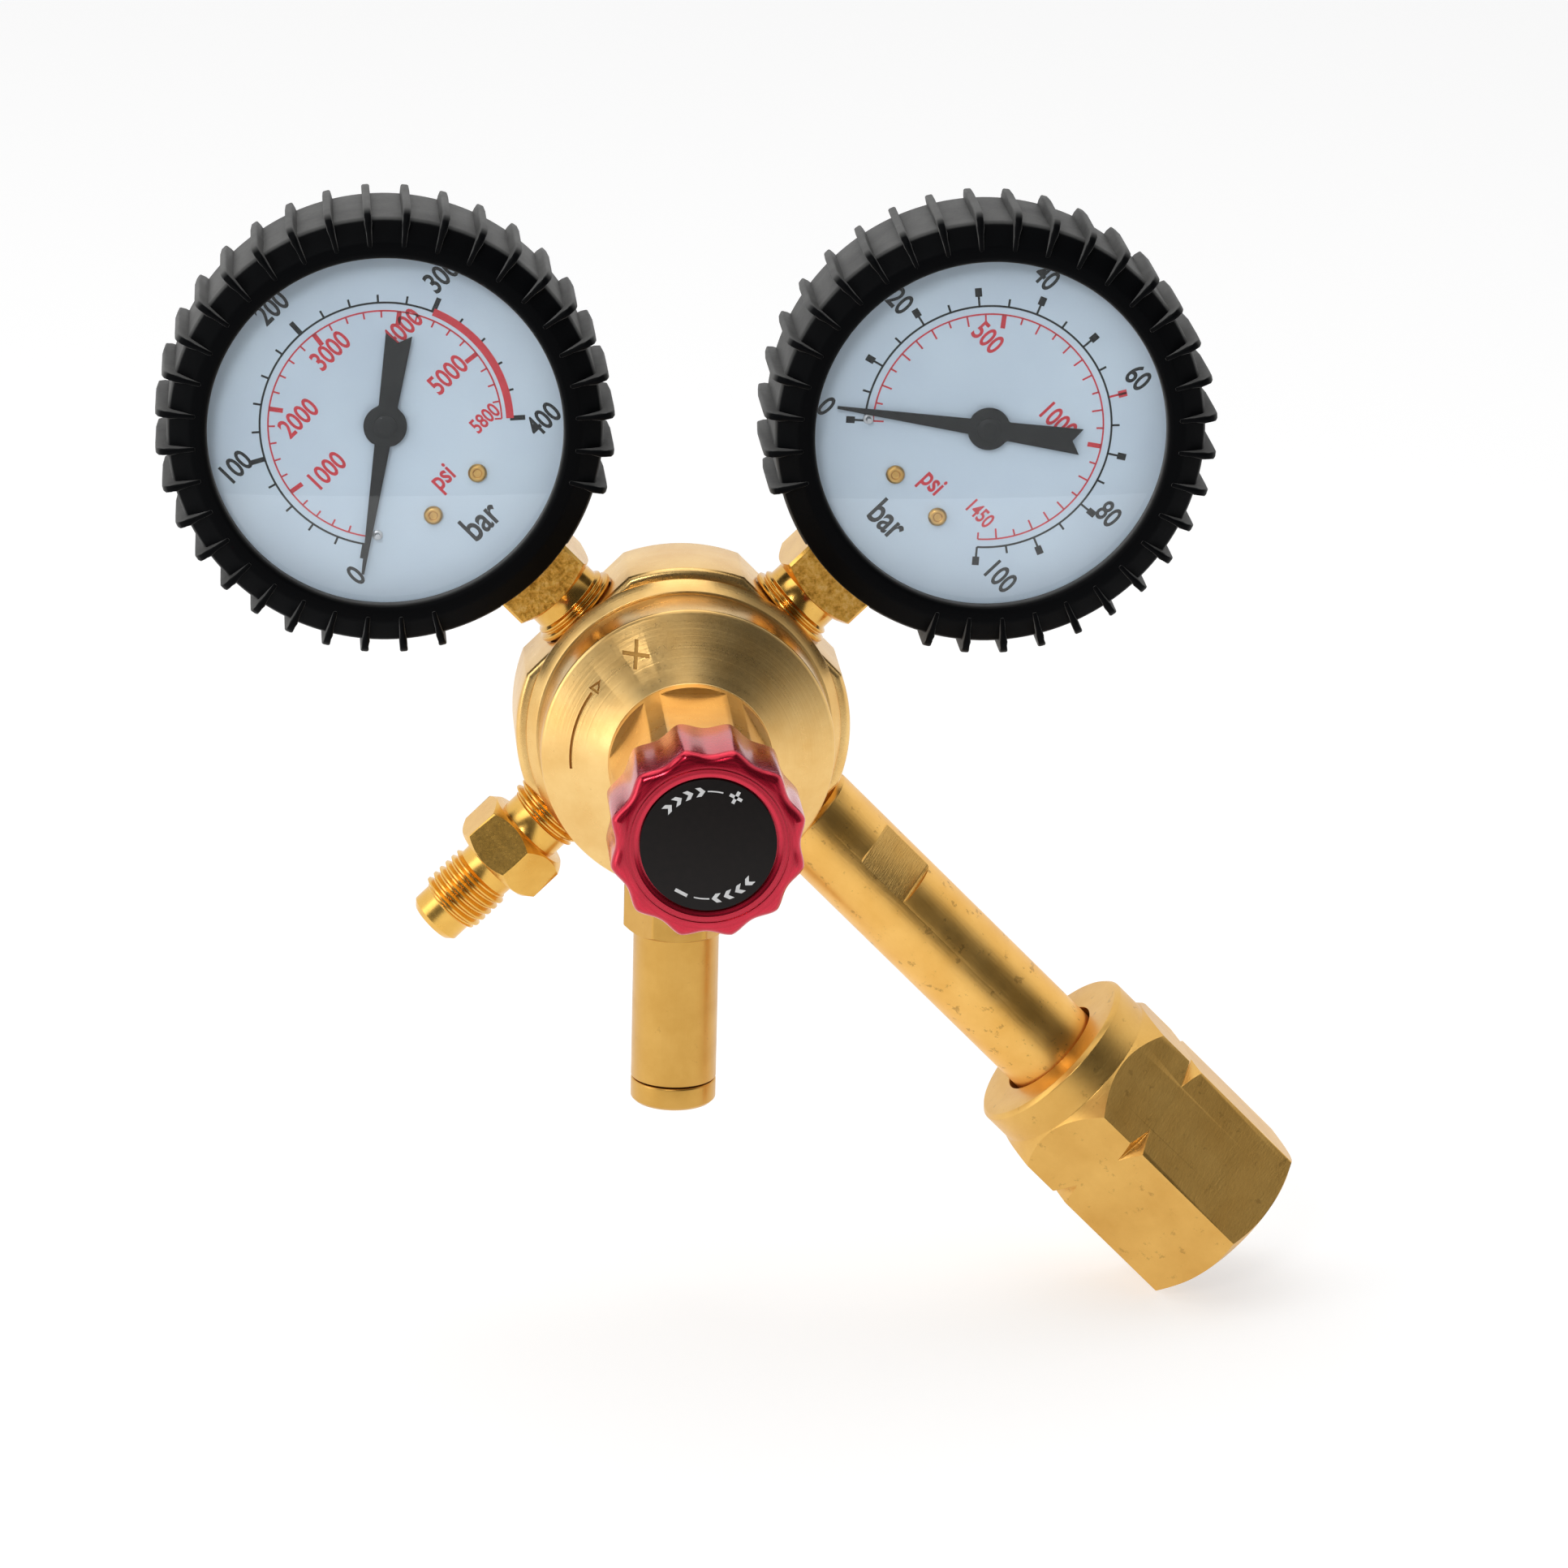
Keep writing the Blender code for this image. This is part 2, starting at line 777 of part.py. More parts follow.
def make_inlet(frame):
    flat = port_flat(lower_ports_raise, False)
    bottom = flat - port_depth + seat_gap
    shoulder = nut_back + nut_wall + seat_gap
    face = shoulder + nipple_collar_length + nipple_length
    filter_seat = filter_radius + seat_gap
    filter_end = bottom + filter_length
    profile = [
        (filter_seat, bottom),
        (port_thread_radius, bottom),
        (port_thread_radius, stem_start - 0.6 * mm),
        (stem_radius - 0.5 * mm, stem_start - 0.6 * mm),
        (stem_radius, stem_start),
        (stem_radius, shoulder),
        (nipple_collar_radius, shoulder),
        (nipple_collar_radius, shoulder + nipple_collar_length),
        (nipple_radius, shoulder + nipple_collar_length),
        (nipple_radius, face),
        (spigot_radius, face),
        (spigot_radius, face + spigot_length),
        (stem_bore_radius, face + spigot_length),
        (stem_bore_radius, filter_end + seat_gap),
        (filter_seat, filter_end + seat_gap),
    ]
    stem = place("inlet_stem", turned(profile, middle_round, True), frame, "satin brass")
    for side in (0, math.pi):
        tool = block(
            "wrench flat",
            frame,
            (wrench_flats / 2, -stem_radius, wrench_start),
            (stem_radius + 2 * mm, stem_radius, wrench_end),
        )
        tool.matrix_local = Matrix.Rotation(math.pi - wrench_angle + side, 4, "Z")
        cut(stem, tool)
    bronze = [
        (filter_radius - 1.2 * mm, bottom + seat_gap),
        (filter_radius, bottom + seat_gap),
        (filter_radius, filter_end),
        (0, filter_end),
        (0, filter_end - 1.2 * mm),
        (filter_radius - 1.2 * mm, filter_end - 1.2 * mm),
    ]
    place("inlet_filter", turned(bronze, small_round, True), frame, "bronze")
    washer = [
        (spigot_radius + seat_gap, face + seat_gap),
        (gasket_radius, face + seat_gap),
        (gasket_radius, face + seat_gap + gasket_thickness),
        (spigot_radius + seat_gap, face + seat_gap + gasket_thickness),
    ]
    place("inlet_gasket", turned(washer, middle_round, True), frame, "white nylon")
    make_nut(frame)


def make_nut(frame):
    corner = nut_flats / 2 / math.cos(30 * deg)
    hex_start = nut_back + nut_collar_length
    notch = nut_back + nut_notch
    half = nut_notch_width / 2
    profile = [
        (nut_hole_radius, nut_back),
        (nut_collar_radius - 0.7 * mm, nut_back),
        (nut_collar_radius, nut_back + 0.7 * mm),
        (nut_collar_radius, hex_start),
        (corner, hex_start + nut_cone_length),
        (corner, notch - half),
        (corner - nut_notch_depth, notch),
        (corner, notch + half),
        (corner, nut_front - nut_chamfer),
        (nut_flats / 2, nut_front),
        (nut_bore_radius + 0.8 * mm, nut_front),
        (nut_bore_radius, nut_front - 0.8 * mm),
        (nut_bore_radius, nut_back + nut_wall),
        (nut_hole_radius, nut_back + nut_wall),
    ]
    nut = place("inlet_nut", turned(profile, large_round, True), frame, "satin brass")
    cut(
        nut,
        flats_tool(
            "nut flats",
            frame,
            6,
            nut_flats,
            hex_start - 0.5 * mm,
            nut_front + 1 * mm,
            corner + 3 * mm,
            nut_turn,
        ),
    )


def make_outlet(frame):
    bottom = port_flat(lower_ports_raise, False) - port_depth + seat_gap
    corner = outlet_flats / 2 / math.cos(30 * deg)
    across = outlet_flats / 2
    profile = [
        (outlet_bore_radius, bottom),
        (port_thread_radius, bottom),
        (port_thread_radius, outlet_shank_length),
        (outlet_neck_radius, outlet_shank_length),
        (outlet_neck_radius, outlet_hex_start),
        (across - 0.2 * mm, outlet_hex_start),
        (corner, outlet_hex_start + outlet_chamfer),
        (corner, outlet_hex_end - outlet_chamfer),
        (across - 0.2 * mm, outlet_hex_end),
        (outlet_thread_radius - 0.8 * mm, outlet_hex_end),
        (outlet_thread_radius - 0.8 * mm, outlet_thread_start),
        (outlet_thread_radius, outlet_thread_start),
        (outlet_thread_radius, outlet_thread_end),
        (outlet_nose_radius, outlet_thread_end),
        (outlet_nose_radius, outlet_end - 0.6 * mm),
        (outlet_nose_radius - 0.6 * mm, outlet_end),
        (outlet_bore_radius, outlet_end),
    ]
    fitting = place("outlet_fitting", turned(profile, middle_round, True), frame, "bright brass")
    cut(
        fitting,
        flats_tool(
            "outlet flats",
            frame,
            6,
            outlet_flats,
            outlet_hex_start - 0.3 * mm,
            outlet_hex_end + 0.3 * mm,
            corner + 3 * mm,
            outlet_turn,
        ),
    )


def make_relief(frame):
    bottom = relief_flat_distance - port_depth + seat_gap
    corner = relief_flats / 2 / math.cos(30 * deg)
    bevel = 0.7 * mm
    cap_shoulder = relief_tube_end + seat_gap
    plug_radius = relief_bore_radius - thread_gap
    plug_top = relief_tube_end - 4.0 * mm
    profile = [
        (relief_seat_radius, bottom),
        (relief_thread_radius, bottom),
        (relief_thread_radius, relief_hex_start),
        (corner - 2 * bevel, relief_hex_start),
        (corner, relief_hex_start + bevel),
        (corner, relief_hex_end - bevel),
        (corner - 2 * bevel, relief_hex_end),
        (relief_tube_radius, relief_hex_end),
        (relief_tube_radius, relief_tube_end),
        (relief_bore_radius, relief_tube_end),
        (relief_bore_radius, relief_seat_height),
        (relief_seat_radius, relief_seat_height),
    ]
    body = place("relief_body", turned(profile, middle_round, True), frame, "satin brass")
    cut(
        body,
        flats_tool(
            "relief flats",
            frame,
            6,
            relief_flats,
            relief_hex_start - 0.2 * mm,
            relief_hex_end + 0.2 * mm,
            corner + 3 * mm,
            30 * deg,
        ),
    )
    poppet_back = relief_seat_height + seat_gap
    poppet_front = poppet_back + relief_poppet_thickness
    guide = relief_coil_radius - relief_wire - 0.5 * mm
    poppet = [
        (0, poppet_back),
        (relief_poppet_radius, poppet_back),
        (relief_poppet_radius, poppet_front),
        (guide, poppet_front),
        (guide, poppet_front + 2 * mm),
        (0, poppet_front + 2 * mm),
    ]
    place("relief_poppet", turned(poppet, small_round), frame, "bronze")
    coil(
        "relief_spring",
        frame,
        "steel",
        relief_wire,
        relief_coil_radius,
        poppet_front + seat_gap,
        plug_top - seat_gap,
        6,
        8,
    )
    cap = [
        (relief_vent_radius, plug_top),
        (plug_radius, plug_top),
        (plug_radius, cap_shoulder),
        (relief_tube_radius, cap_shoulder),
        (relief_tube_radius, relief_end - 0.4 * mm),
        (relief_tube_radius - 0.4 * mm, relief_end),
        (relief_vent_radius, relief_end),
    ]
    place("relief_cap", turned(cap, middle_round, True), frame, "satin brass")


def boot_stations():
    """(angle, raised) pairs round the boot: the crest of each rib between its two feet."""
    pitch = 2 * math.pi / boot_rib_count
    foot = boot_rib_width / boot_rib_radius
    stations = []
    for i in range(boot_rib_count):
        middle = -math.pi / 2 + i * pitch
        if i <= boot_ribs_left_out or i >= boot_rib_count - boot_ribs_left_out:
            stations.append((middle, False))
            continue
        stations += [(middle - foot, False), (middle, True), (middle + foot, False)]
    return stations


def boot_profile(raised):
    """Closed (radius, height) section of the boot, through a rib or between two."""
    rise = boot_rib_radius - boot_radius if raised else 0.0
    inside = case_radius + seat_gap
    lip = case_front + seat_gap
    inner_back = case_back - seat_gap
    return [
        (boot_window_radius, lip),
        (boot_window_radius + 1.0 * mm, boot_front),
        (boot_radius - 0.9 * mm + 0.8 * rise, boot_front - 0.3 * mm),
        (boot_radius + rise, boot_front - 1.6 * mm),
        (boot_radius + 0.85 * rise, boot_back + 1.8 * mm),
        (boot_radius - 1.2 * mm + 0.2 * rise, boot_back),
        (boot_back_opening, boot_back),
        (boot_back_opening, inner_back),
        (inside, inner_back),
        (inside, lip),
    ]


def make_boot(prefix, frame):
    bm = bmesh.new()
    rings = []
    for angle, raised in boot_stations():
        across, up = math.cos(angle), math.sin(angle)
        ring = [bm.verts.new((r * across, r * up, h)) for r, h in boot_profile(raised)]
        rings.append(ring)
    count = len(rings[0])
    for near, far in zip(rings, rings[1:] + rings[:1]):
        for i in range(count):
            j = (i + 1) % count
            bm.faces.new((near[i], near[j], far[j], far[i]))
    boot = place(prefix + "boot", bm, frame, "black rubber")
    half = socket_square / 2 + 1.5 * seat_gap
    notch = block(
        prefix + "boot notch",
        frame,
        (-half, -boot_rib_radius - 3 * mm, -half),
        (half, -boot_window_radius, half - 0.4 * mm),
    )
    cut(boot, notch)


def make_case(prefix, frame):
    step = case_front - lens_thickness - seat_gap
    seat = lens_radius + seat_gap
    inside = case_radius - case_wall - 0.5 * mm
    floor = case_back + case_wall
    plug_hole = vent_plug_radius + seat_gap
    profile = [
        (plug_hole, case_back),
        (case_radius - 0.6 * mm, case_back),
        (case_radius, case_back + 0.6 * mm),
        (case_radius, case_front),
        (seat, case_front),
        (seat, step),
        (inside, step),
        (inside, floor),
        (plug_hole, floor),
    ]
    case = place(prefix + "case", turned(profile, large_round, True), frame, "steel")
    half = socket_tongue_width / 2 + seat_gap
    slot = block(
        prefix + "case slot",
        frame,
        (-half, -case_radius - 2 * mm, socket_tongue_back - seat_gap),
        (half, -inside + 2 * mm, socket_tongue_front + seat_gap),
    )
    cut(case, slot)
    plug = [
        (0, case_back - 0.8 * mm),
        (vent_plug_radius - 1.4 * mm, case_back - 0.8 * mm),
        (vent_plug_radius, case_back - 0.2 * mm),
        (vent_plug_radius, floor + seat_gap),
        (vent_plug_radius + 1.0 * mm, floor + seat_gap),
        (vent_plug_radius + 1.0 * mm, floor + 1.1 * mm),
        (0, floor + 1.1 * mm),
    ]
    place(prefix + "vent_plug", turned(plug, small_round), frame, "black rubber")
    back = case_front - lens_thickness
    window = [
        (0, back),
        (lens_radius, back),
        (lens_radius, case_front - 0.8 * mm),
        (lens_radius - 0.8 * mm, case_front),
        (0, case_front),
    ]
    place(prefix + "lens", turned(window, large_round), frame, "clear window")


def make_dial(prefix, frame):
    hole = arbor_radius + running_gap
    back = dial_face - dial_thickness
    face = [(hole, back), (dial_radius, back), (dial_radius, dial_face), (hole, dial_face)]
    dial = place(prefix + "dial", turned(face, large_round, True), frame, "dial white")
    stop = clock_point(stop_pin_angle, stop_pin_reach)
    pin_top = pointer_height + pointer_thickness + 0.3 * mm
    fuse(dial, rod(prefix + "stop pin", frame, 0.45 * mm, back, pin_top, 10, stop))
    for side, name in ((-1, "left"), (1, "right")):
        centre = (side * rivet_x, rivet_y)
        hole_radius = rivet_shank_radius + seat_gap
        cut(dial, rod(prefix + name + " rivet hole", frame, hole_radius, -1 * mm, 4 * mm, 12, centre))
        make_rivet(prefix + "dial_rivet_" + name, frame, centre)


def make_rivet(name, frame, centre):
    under_head = dial_face + seat_gap
    profile = [
        (0, movement_front - movement_plate + 0.2 * mm),
        (rivet_shank_radius, movement_front - movement_plate + 0.2 * mm),
        (rivet_shank_radius, under_head),
        (rivet_head_radius, under_head),
        (rivet_head_radius * 0.8, under_head + 0.4 * mm),
        (0, under_head + 0.55 * mm),
    ]
    bm = turned(profile, tiny_round)
    bmesh.ops.translate(bm, verts=bm.verts, vec=(centre[0], centre[1], 0))
    place(name, bm, frame, "bright brass")


def clock_point(turn, reach):
    """A dial point at an angle measured clockwise from 12 o'clock."""
    return (reach * math.sin(turn), reach * math.cos(turn))


def make_pointer(prefix, frame):
    half_tip = 0.25 * mm
    half_root = 1.3 * mm
    half_tail = pointer_tail_width / 2
    notch = 1.4 * mm
    hub = pointer_hub_radius
    tip = [(half_root, 0.9 * hub), (half_tip, pointer_length), (-half_tip, pointer_length), (-half_root, 0.9 * hub)]
    left = [(hub * math.cos(a * deg), hub * math.sin(a * deg)) for a in (130, 155, 180, 205, 230)]
    tail = [
        (-half_tail * 0.75, -0.95 * hub),
        (-half_tail, -pointer_tail),
        (0, -pointer_tail + notch),
        (half_tail, -pointer_tail),
        (half_tail * 0.75, -0.95 * hub),
    ]
    right = [(hub * math.cos(a * deg), hub * math.sin(a * deg)) for a in (-50, -25, 0, 25, 50)]
    outline = tip + left + tail + right
    turn = -pointer_rest
    turned_outline = [
        (x * math.cos(turn) - y * math.sin(turn), x * math.sin(turn) + y * math.cos(turn))
        for x, y in outline
    ]
    top = pointer_height + pointer_thickness
    pointer = place(prefix + "pointer", prism(turned_outline, pointer_height, top), frame, "pointer black")
    hole = rod(
        prefix + "pointer hole",
        frame,
        arbor_radius + seat_gap,
        pointer_height - 0.5 * mm,
        top + 0.5 * mm,
        12,
    )
    cut(pointer, hole)


def involute(angle):
    return math.tan(angle) - angle


def tooth_half_angle(radius, pitch_radius):
    """Half the angle that an involute tooth fills at a radius, less the backlash."""
    base = pitch_radius * math.cos(pressure_angle)
    at_pitch = (math.pi * gear_module / 2 - gear_backlash) / 2 / pitch_radius
    if radius <= base:
        return (at_pitch + involute(pressure_angle)) * (radius / base) ** 2
    return at_pitch + involute(pressure_angle) - involute(math.acos(base / radius))


def gear_outline(pitch_radius, first, count, pitch):
    """Points of count teeth, the first centred at an angle, going anticlockwise."""
    root = pitch_radius - 1.25 * gear_module
    tip = pitch_radius + 0.8 * gear_module
    radii = [root, tip]
    points = []
    for i in range(count):
        middle = first + i * pitch
        halves = [(r, tooth_half_angle(r, pitch_radius)) for r in radii]
        points += [(r * math.cos(middle - h), r * math.sin(middle - h)) for r, h in halves]
        points += [(r * math.cos(middle + h), r * math.sin(middle + h)) for r, h in halves[::-1]]
    return points


def make_pinion(prefix, frame):
    """The pinion is cut in one with the arbor that carries the pointer."""
    teeth_low = sector_front - sector_thickness - 0.7 * mm
    teeth_high = sector_front + 0.7 * mm
    low = movement_back + 0.2 * mm
    high = pointer_height + pointer_thickness + 0.5 * mm
    gear = gear_outline(pinion_pitch_radius, -math.pi / 2, pinion_teeth, 2 * math.pi / pinion_teeth)
    pinion = place(prefix + "pinion", prism(gear, teeth_low, teeth_high), frame, "bright brass")
    fuse(pinion, rod(prefix + "pointer arbor", frame, arbor_radius, low, high, 12))


def make_sector(prefix, frame):
    """Toothed sector, made with its tail along +X and its fan about +Y, then turned to rest."""
    pitch = 2 * math.pi / sector_teeth_round
    mesh_angle = math.pi / 2 + sector_travel / 2
    gaps_behind = 3
    first = mesh_angle + (gaps_behind - sector_teeth_cut + 0.5) * pitch
    teeth = gear_outline(sector_pitch_radius, first, sector_teeth_cut, pitch)
    root = sector_pitch_radius - 1.25 * gear_module
    fan_start = first - 0.75 * pitch
    fan_end = first + (sector_teeth_cut - 0.25) * pitch
    hub = 2.2 * mm
    half_tail = 1.0 * mm
    hub_angle = math.asin(half_tail / hub)
    outline = [(hub * math.cos(hub_angle), -half_tail)]
    for k in range(7):
        angle = -math.pi / 2 + k * math.pi / 6
        outline.append((tail_length + half_tail * math.cos(angle), half_tail * math.sin(angle)))
    outline.append((hub * math.cos(hub_angle), half_tail))
    for angle, radius in ((fan_start, hub), (fan_start, root)):
        outline.append((radius * math.cos(angle), radius * math.sin(angle)))
    outline += teeth
    for angle, radius in ((fan_end, root), (fan_end, hub)):
        outline.append((radius * math.cos(angle), radius * math.sin(angle)))
    arc = 2 * math.pi - hub_angle - fan_end
    for k in range(1, 8):
        angle = fan_end + arc * k / 8
        outline.append((hub * math.cos(angle), hub * math.sin(angle)))
    back = sector_front - sector_thickness
    sector = place(prefix + "sector", prism(outline, back, sector_front), frame, "bright brass")
    low = movement_back + 0.2 * mm
    high = movement_front - 0.2 * mm
    fuse(sector, rod(prefix + "sector arbor", frame, arbor_radius, low, high, 12))
    pin_top = sector_front + seat_gap + link_thickness + 0.3 * mm
    pin = rod(prefix + "tail pin", frame, link_pin_radius, back + 0.2 * mm, pin_top, 10, (tail_length, 0))
    fuse(sector, pin)
    window = sector_pitch_radius * 0.5
    slot = prism(
        [(-1.2 * mm, window - 2 * mm), (1.2 * mm, window - 2 * mm), (2.2 * mm, window + 3 * mm), (-2.2 * mm, window + 3 * mm)],
        back - 1 * mm,
        sector_front + 1 * mm,
    )
    cut(sector, place(prefix + "sector window", slot, frame))


def tail_pin_at_rest():
    angle = -sector_travel / 2
    return Vector((tail_length * math.cos(angle), sector_pivot_y + tail_length * math.sin(angle), 0))


def make_link(prefix, frame):
    """Link from the sector's tail pin to the pin on the tube's tip."""
    reach = (Vector((tip_pin_x, tip_pin_y, 0)) - tail_pin_at_rest()).length
    eye = link_pin_radius + seat_gap
    half = eye + 0.7 * mm
    low = sector_front + seat_gap
    high = low + link_thickness
    outline = stadium(0, reach, half)
    link = place(prefix + "link", prism(outline, low, high), frame, "steel")
    for name, x in (("tail", 0), ("tip", reach)):
        hole = rod(prefix + name + " eye", frame, eye, low - 1 * mm, high + 1 * mm, 12, (x, 0))
        cut(link, hole)


def stadium(start, end, half):
    points = []
    for k in range(7):
        angle = -math.pi / 2 + k * math.pi / 6
        points.append((end + half * math.cos(angle), half * math.sin(angle)))
    for k in range(7):
        angle = math.pi / 2 + k * math.pi / 6
        points.append((start + half * math.cos(angle), half * math.sin(angle)))
    return points


def make_tube(prefix, frame):
    """Flattened C-shaped tube, open at the socket end and closed by the tip block."""
    steps = 20
    half = tube_height / 2
    low = tube_middle - half
    high = tube_middle + half
    round_off = 0.8 * mm
    rings = []
    bm = bmesh.new()
    for i in range(steps + 1):
        angle = tube_start + (tube_end - tube_start) * i / steps
        inner = tube_radius - tube_width / 2
        outer = tube_radius + tube_width / 2
        section = [
            (inner, low + round_off),
            (inner + round_off, low),
            (outer - round_off, low),
            (outer, low + round_off),
            (outer, high - round_off),
            (outer - round_off, high),
            (inner + round_off, high),
            (inner, high - round_off),
        ]
        across, up = math.cos(angle), math.sin(angle)
        rings.append([bm.verts.new((r * across, r * up, h)) for r, h in section])
    for near, far in zip(rings, rings[1:]):
        for i in range(8):
            j = (i + 1) % 8
            bm.faces.new((near[i], near[j], far[j], far[i]))
    bm.faces.new(rings[0])
    bm.faces.new(rings[-1][::-1])
    tube = place(prefix + "bourdon_tube", bm, frame, "bright brass")
    lug_low = sector_front - 1.4 * mm
    tip = block(
        prefix + "tip lug",
        frame,
        (tip_pin_x - 1.4 * mm, tip_pin_y - 1.2 * mm, lug_low),
        (tube_radius + 0.8 * mm, tip_pin_y + 2.2 * mm, sector_front),
    )
    fuse(tube, tip)
    pin_top = sector_front + seat_gap + link_thickness + 0.3 * mm
    centre = (tip_pin_x, tip_pin_y)
    fuse(tube, rod(prefix + "tip pin", frame, link_pin_radius, lug_low + 0.3 * mm, pin_top, 10, centre))


def make_movement(prefix, frame):
    """Two plates on four pillars, which carry the pinion's and the sector's arbors."""
    half = movement_width / 2
    foot = half - 3.2 * mm
    front_bottom = socket_tongue_top + 0.8 * mm
    foot_bottom = socket_tongue_top - 6.5 * mm
    top = movement_top
    front = [(-half, front_bottom), (half, front_bottom), (half, top), (-half, top)]
    back = [(-foot, front_bottom), (-foot, foot_bottom), (foot, foot_bottom), (foot, front_bottom)]
    back += [front[1], front[2], front[3], front[0]]
    bm = bmesh.new()
    lofted(bm, [(front, movement_front - movement_plate), (front, movement_front)])
    lofted(bm, [(back, movement_back), (back, movement_back + movement_plate)])
    movement = place(prefix + "movement", bm, frame, "bright brass")
    pillar_x = half - 1.7 * mm
    bm = bmesh.new()
    low = movement_back + 0.3 * mm
    high = movement_front - 0.3 * mm
    for x in (-pillar_x, pillar_x):
        for y in (front_bottom + 1.4 * mm, movement_top - 1.6 * mm):
            pillar = circle(1.1 * mm, 10, centre=(x, y))
            lofted(bm, [(pillar, low), (pillar, high)])
    fuse(movement, place(prefix + "movement pillars", bm, frame))
    bm = bmesh.new()
    hole = arbor_radius + running_gap
    for y in (0, sector_pivot_y):
        outline = circle(hole, 12, centre=(0, y))
        lofted(bm, [(outline, movement_back - 1 * mm), (outline, movement_front + 1 * mm)])
    for x in (-rivet_x, rivet_x):
        outline = circle(rivet_shank_radius + seat_gap, 12, centre=(x, rivet_y))
        lofted(bm, [(outline, movement_front - movement_plate - 0.5 * mm), (outline, movement_front + 1 * mm)])
    cut(movement, place(prefix + "movement holes", bm, frame))


def make_socket(prefix, stem_frame):
    """Threaded stem, square for the spanner, and the tongue that carries the movement."""
    flat = port_flat(upper_ports_raise, True)
    bottom = flat - port_depth + seat_gap
    square_end = gauge_reach - case_radius - seat_gap
    corner = socket_square / 2 * 1.37
    ring = flat + seat_gap
    profile = [
        (0, bottom),
        (port_thread_radius, bottom),
        (port_thread_radius, ring),
        (socket_ring_radius, ring),
        (socket_ring_radius, ring + 1.0 * mm),
        (port_thread_radius - 0.2 * mm, ring + 1.2 * mm),
        (port_thread_radius + 0.3 * mm, ring + 1.6 * mm),
        (port_thread_radius + 0.3 * mm, ring + 2.3 * mm),
        (socket_neck_radius, ring + 2.6 * mm),
        (socket_neck_radius, socket_square_start),
        (socket_square / 2 - 0.2 * mm, socket_square_start),
        (corner, socket_square_start + 1.5 * mm),
        (corner, square_end),
        (0, square_end),
    ]
    socket = place(prefix + "socket", turned(profile, middle_round), stem_frame, "satin brass")
    cut(
        socket,
        flats_tool(
            prefix + "socket flats",
            stem_frame,
            4,
            socket_square,
            socket_square_start - 0.2 * mm,
            square_end + 0.5 * mm,
            corner + 3 * mm,
            45 * deg,
        ),
    )
    half = socket_tongue_width / 2
    tongue = block(
        prefix + "socket tongue",
        stem_frame,
        (-socket_tongue_front, -half, square_end - 1 * mm),
        (-socket_tongue_back, half, gauge_reach + socket_tongue_top),
    )
    fuse(socket, tongue)
    bore = rod(prefix + "socket bore", stem_frame, 1.5 * mm, bottom - 1 * mm, square_end - 1.5 * mm, 12)
    cut(socket, bore)


def make_gauge(prefix, side, frames):
    frame = axis_frame(prefix + "gauge", gauge_matrix(side))
    pivot = Matrix.Translation((0, sector_pivot_y, 0)) @ Matrix.Rotation(-sector_travel / 2, 4, "Z")
    sector_axis = axis_frame(prefix + "sector axis", pivot, frame)
    start = tail_pin_at_rest()
    aim = Vector((tip_pin_x, tip_pin_y, 0)) - start
    turn = Matrix.Rotation(math.atan2(aim.y, aim.x), 4, "Z")
    link_axis = axis_frame(prefix + "link axis", Matrix.Translation(start) @ turn, frame)
    make_boot(prefix, frame)
    make_case(prefix, frame)
    make_dial(prefix, frame)
    make_pointer(prefix, frame)
    make_pinion(prefix, frame)
    make_sector(prefix, sector_axis)
    make_link(prefix, link_axis)
    make_tube(prefix, frame)
    make_movement(prefix, frame)
    make_socket(prefix, frames[prefix + "stem"])


def main():
    clear_scene()
    frames = {
        "knob": axis_frame("knob axis", Matrix.Rotation(90 * deg, 4, "X")),
        "inlet": axis_frame("inlet axis", port_matrix((1, 0, -1), lower_ports_raise)),
        "outlet": axis_frame("outlet axis", port_matrix((-1, 0, -1), lower_ports_raise)),
        "relief": axis_frame("relief axis", port_matrix((0, 0, -1), 0)),
        "contents_stem": axis_frame("contents_stem axis", port_matrix((-1, 0, 1), upper_ports_raise)),
        "working_stem": axis_frame("working_stem axis", port_matrix((1, 0, 1), upper_ports_raise)),
    }
    make_body(frames)
    make_bonnet(frames["knob"])
    make_diaphragm_stack(frames["knob"])
    make_valve(frames["knob"])
    make_adjuster(frames["knob"])
    make_inlet(frames["inlet"])
    make_outlet(frames["outlet"])
    make_relief(frames["relief"])
    make_gauge("contents_", -1, frames)
    make_gauge("working_", 1, frames)
    bpy.context.view_layer.update()


main()
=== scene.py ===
import math

import bmesh
import bpy
from mathutils import Matrix, Vector


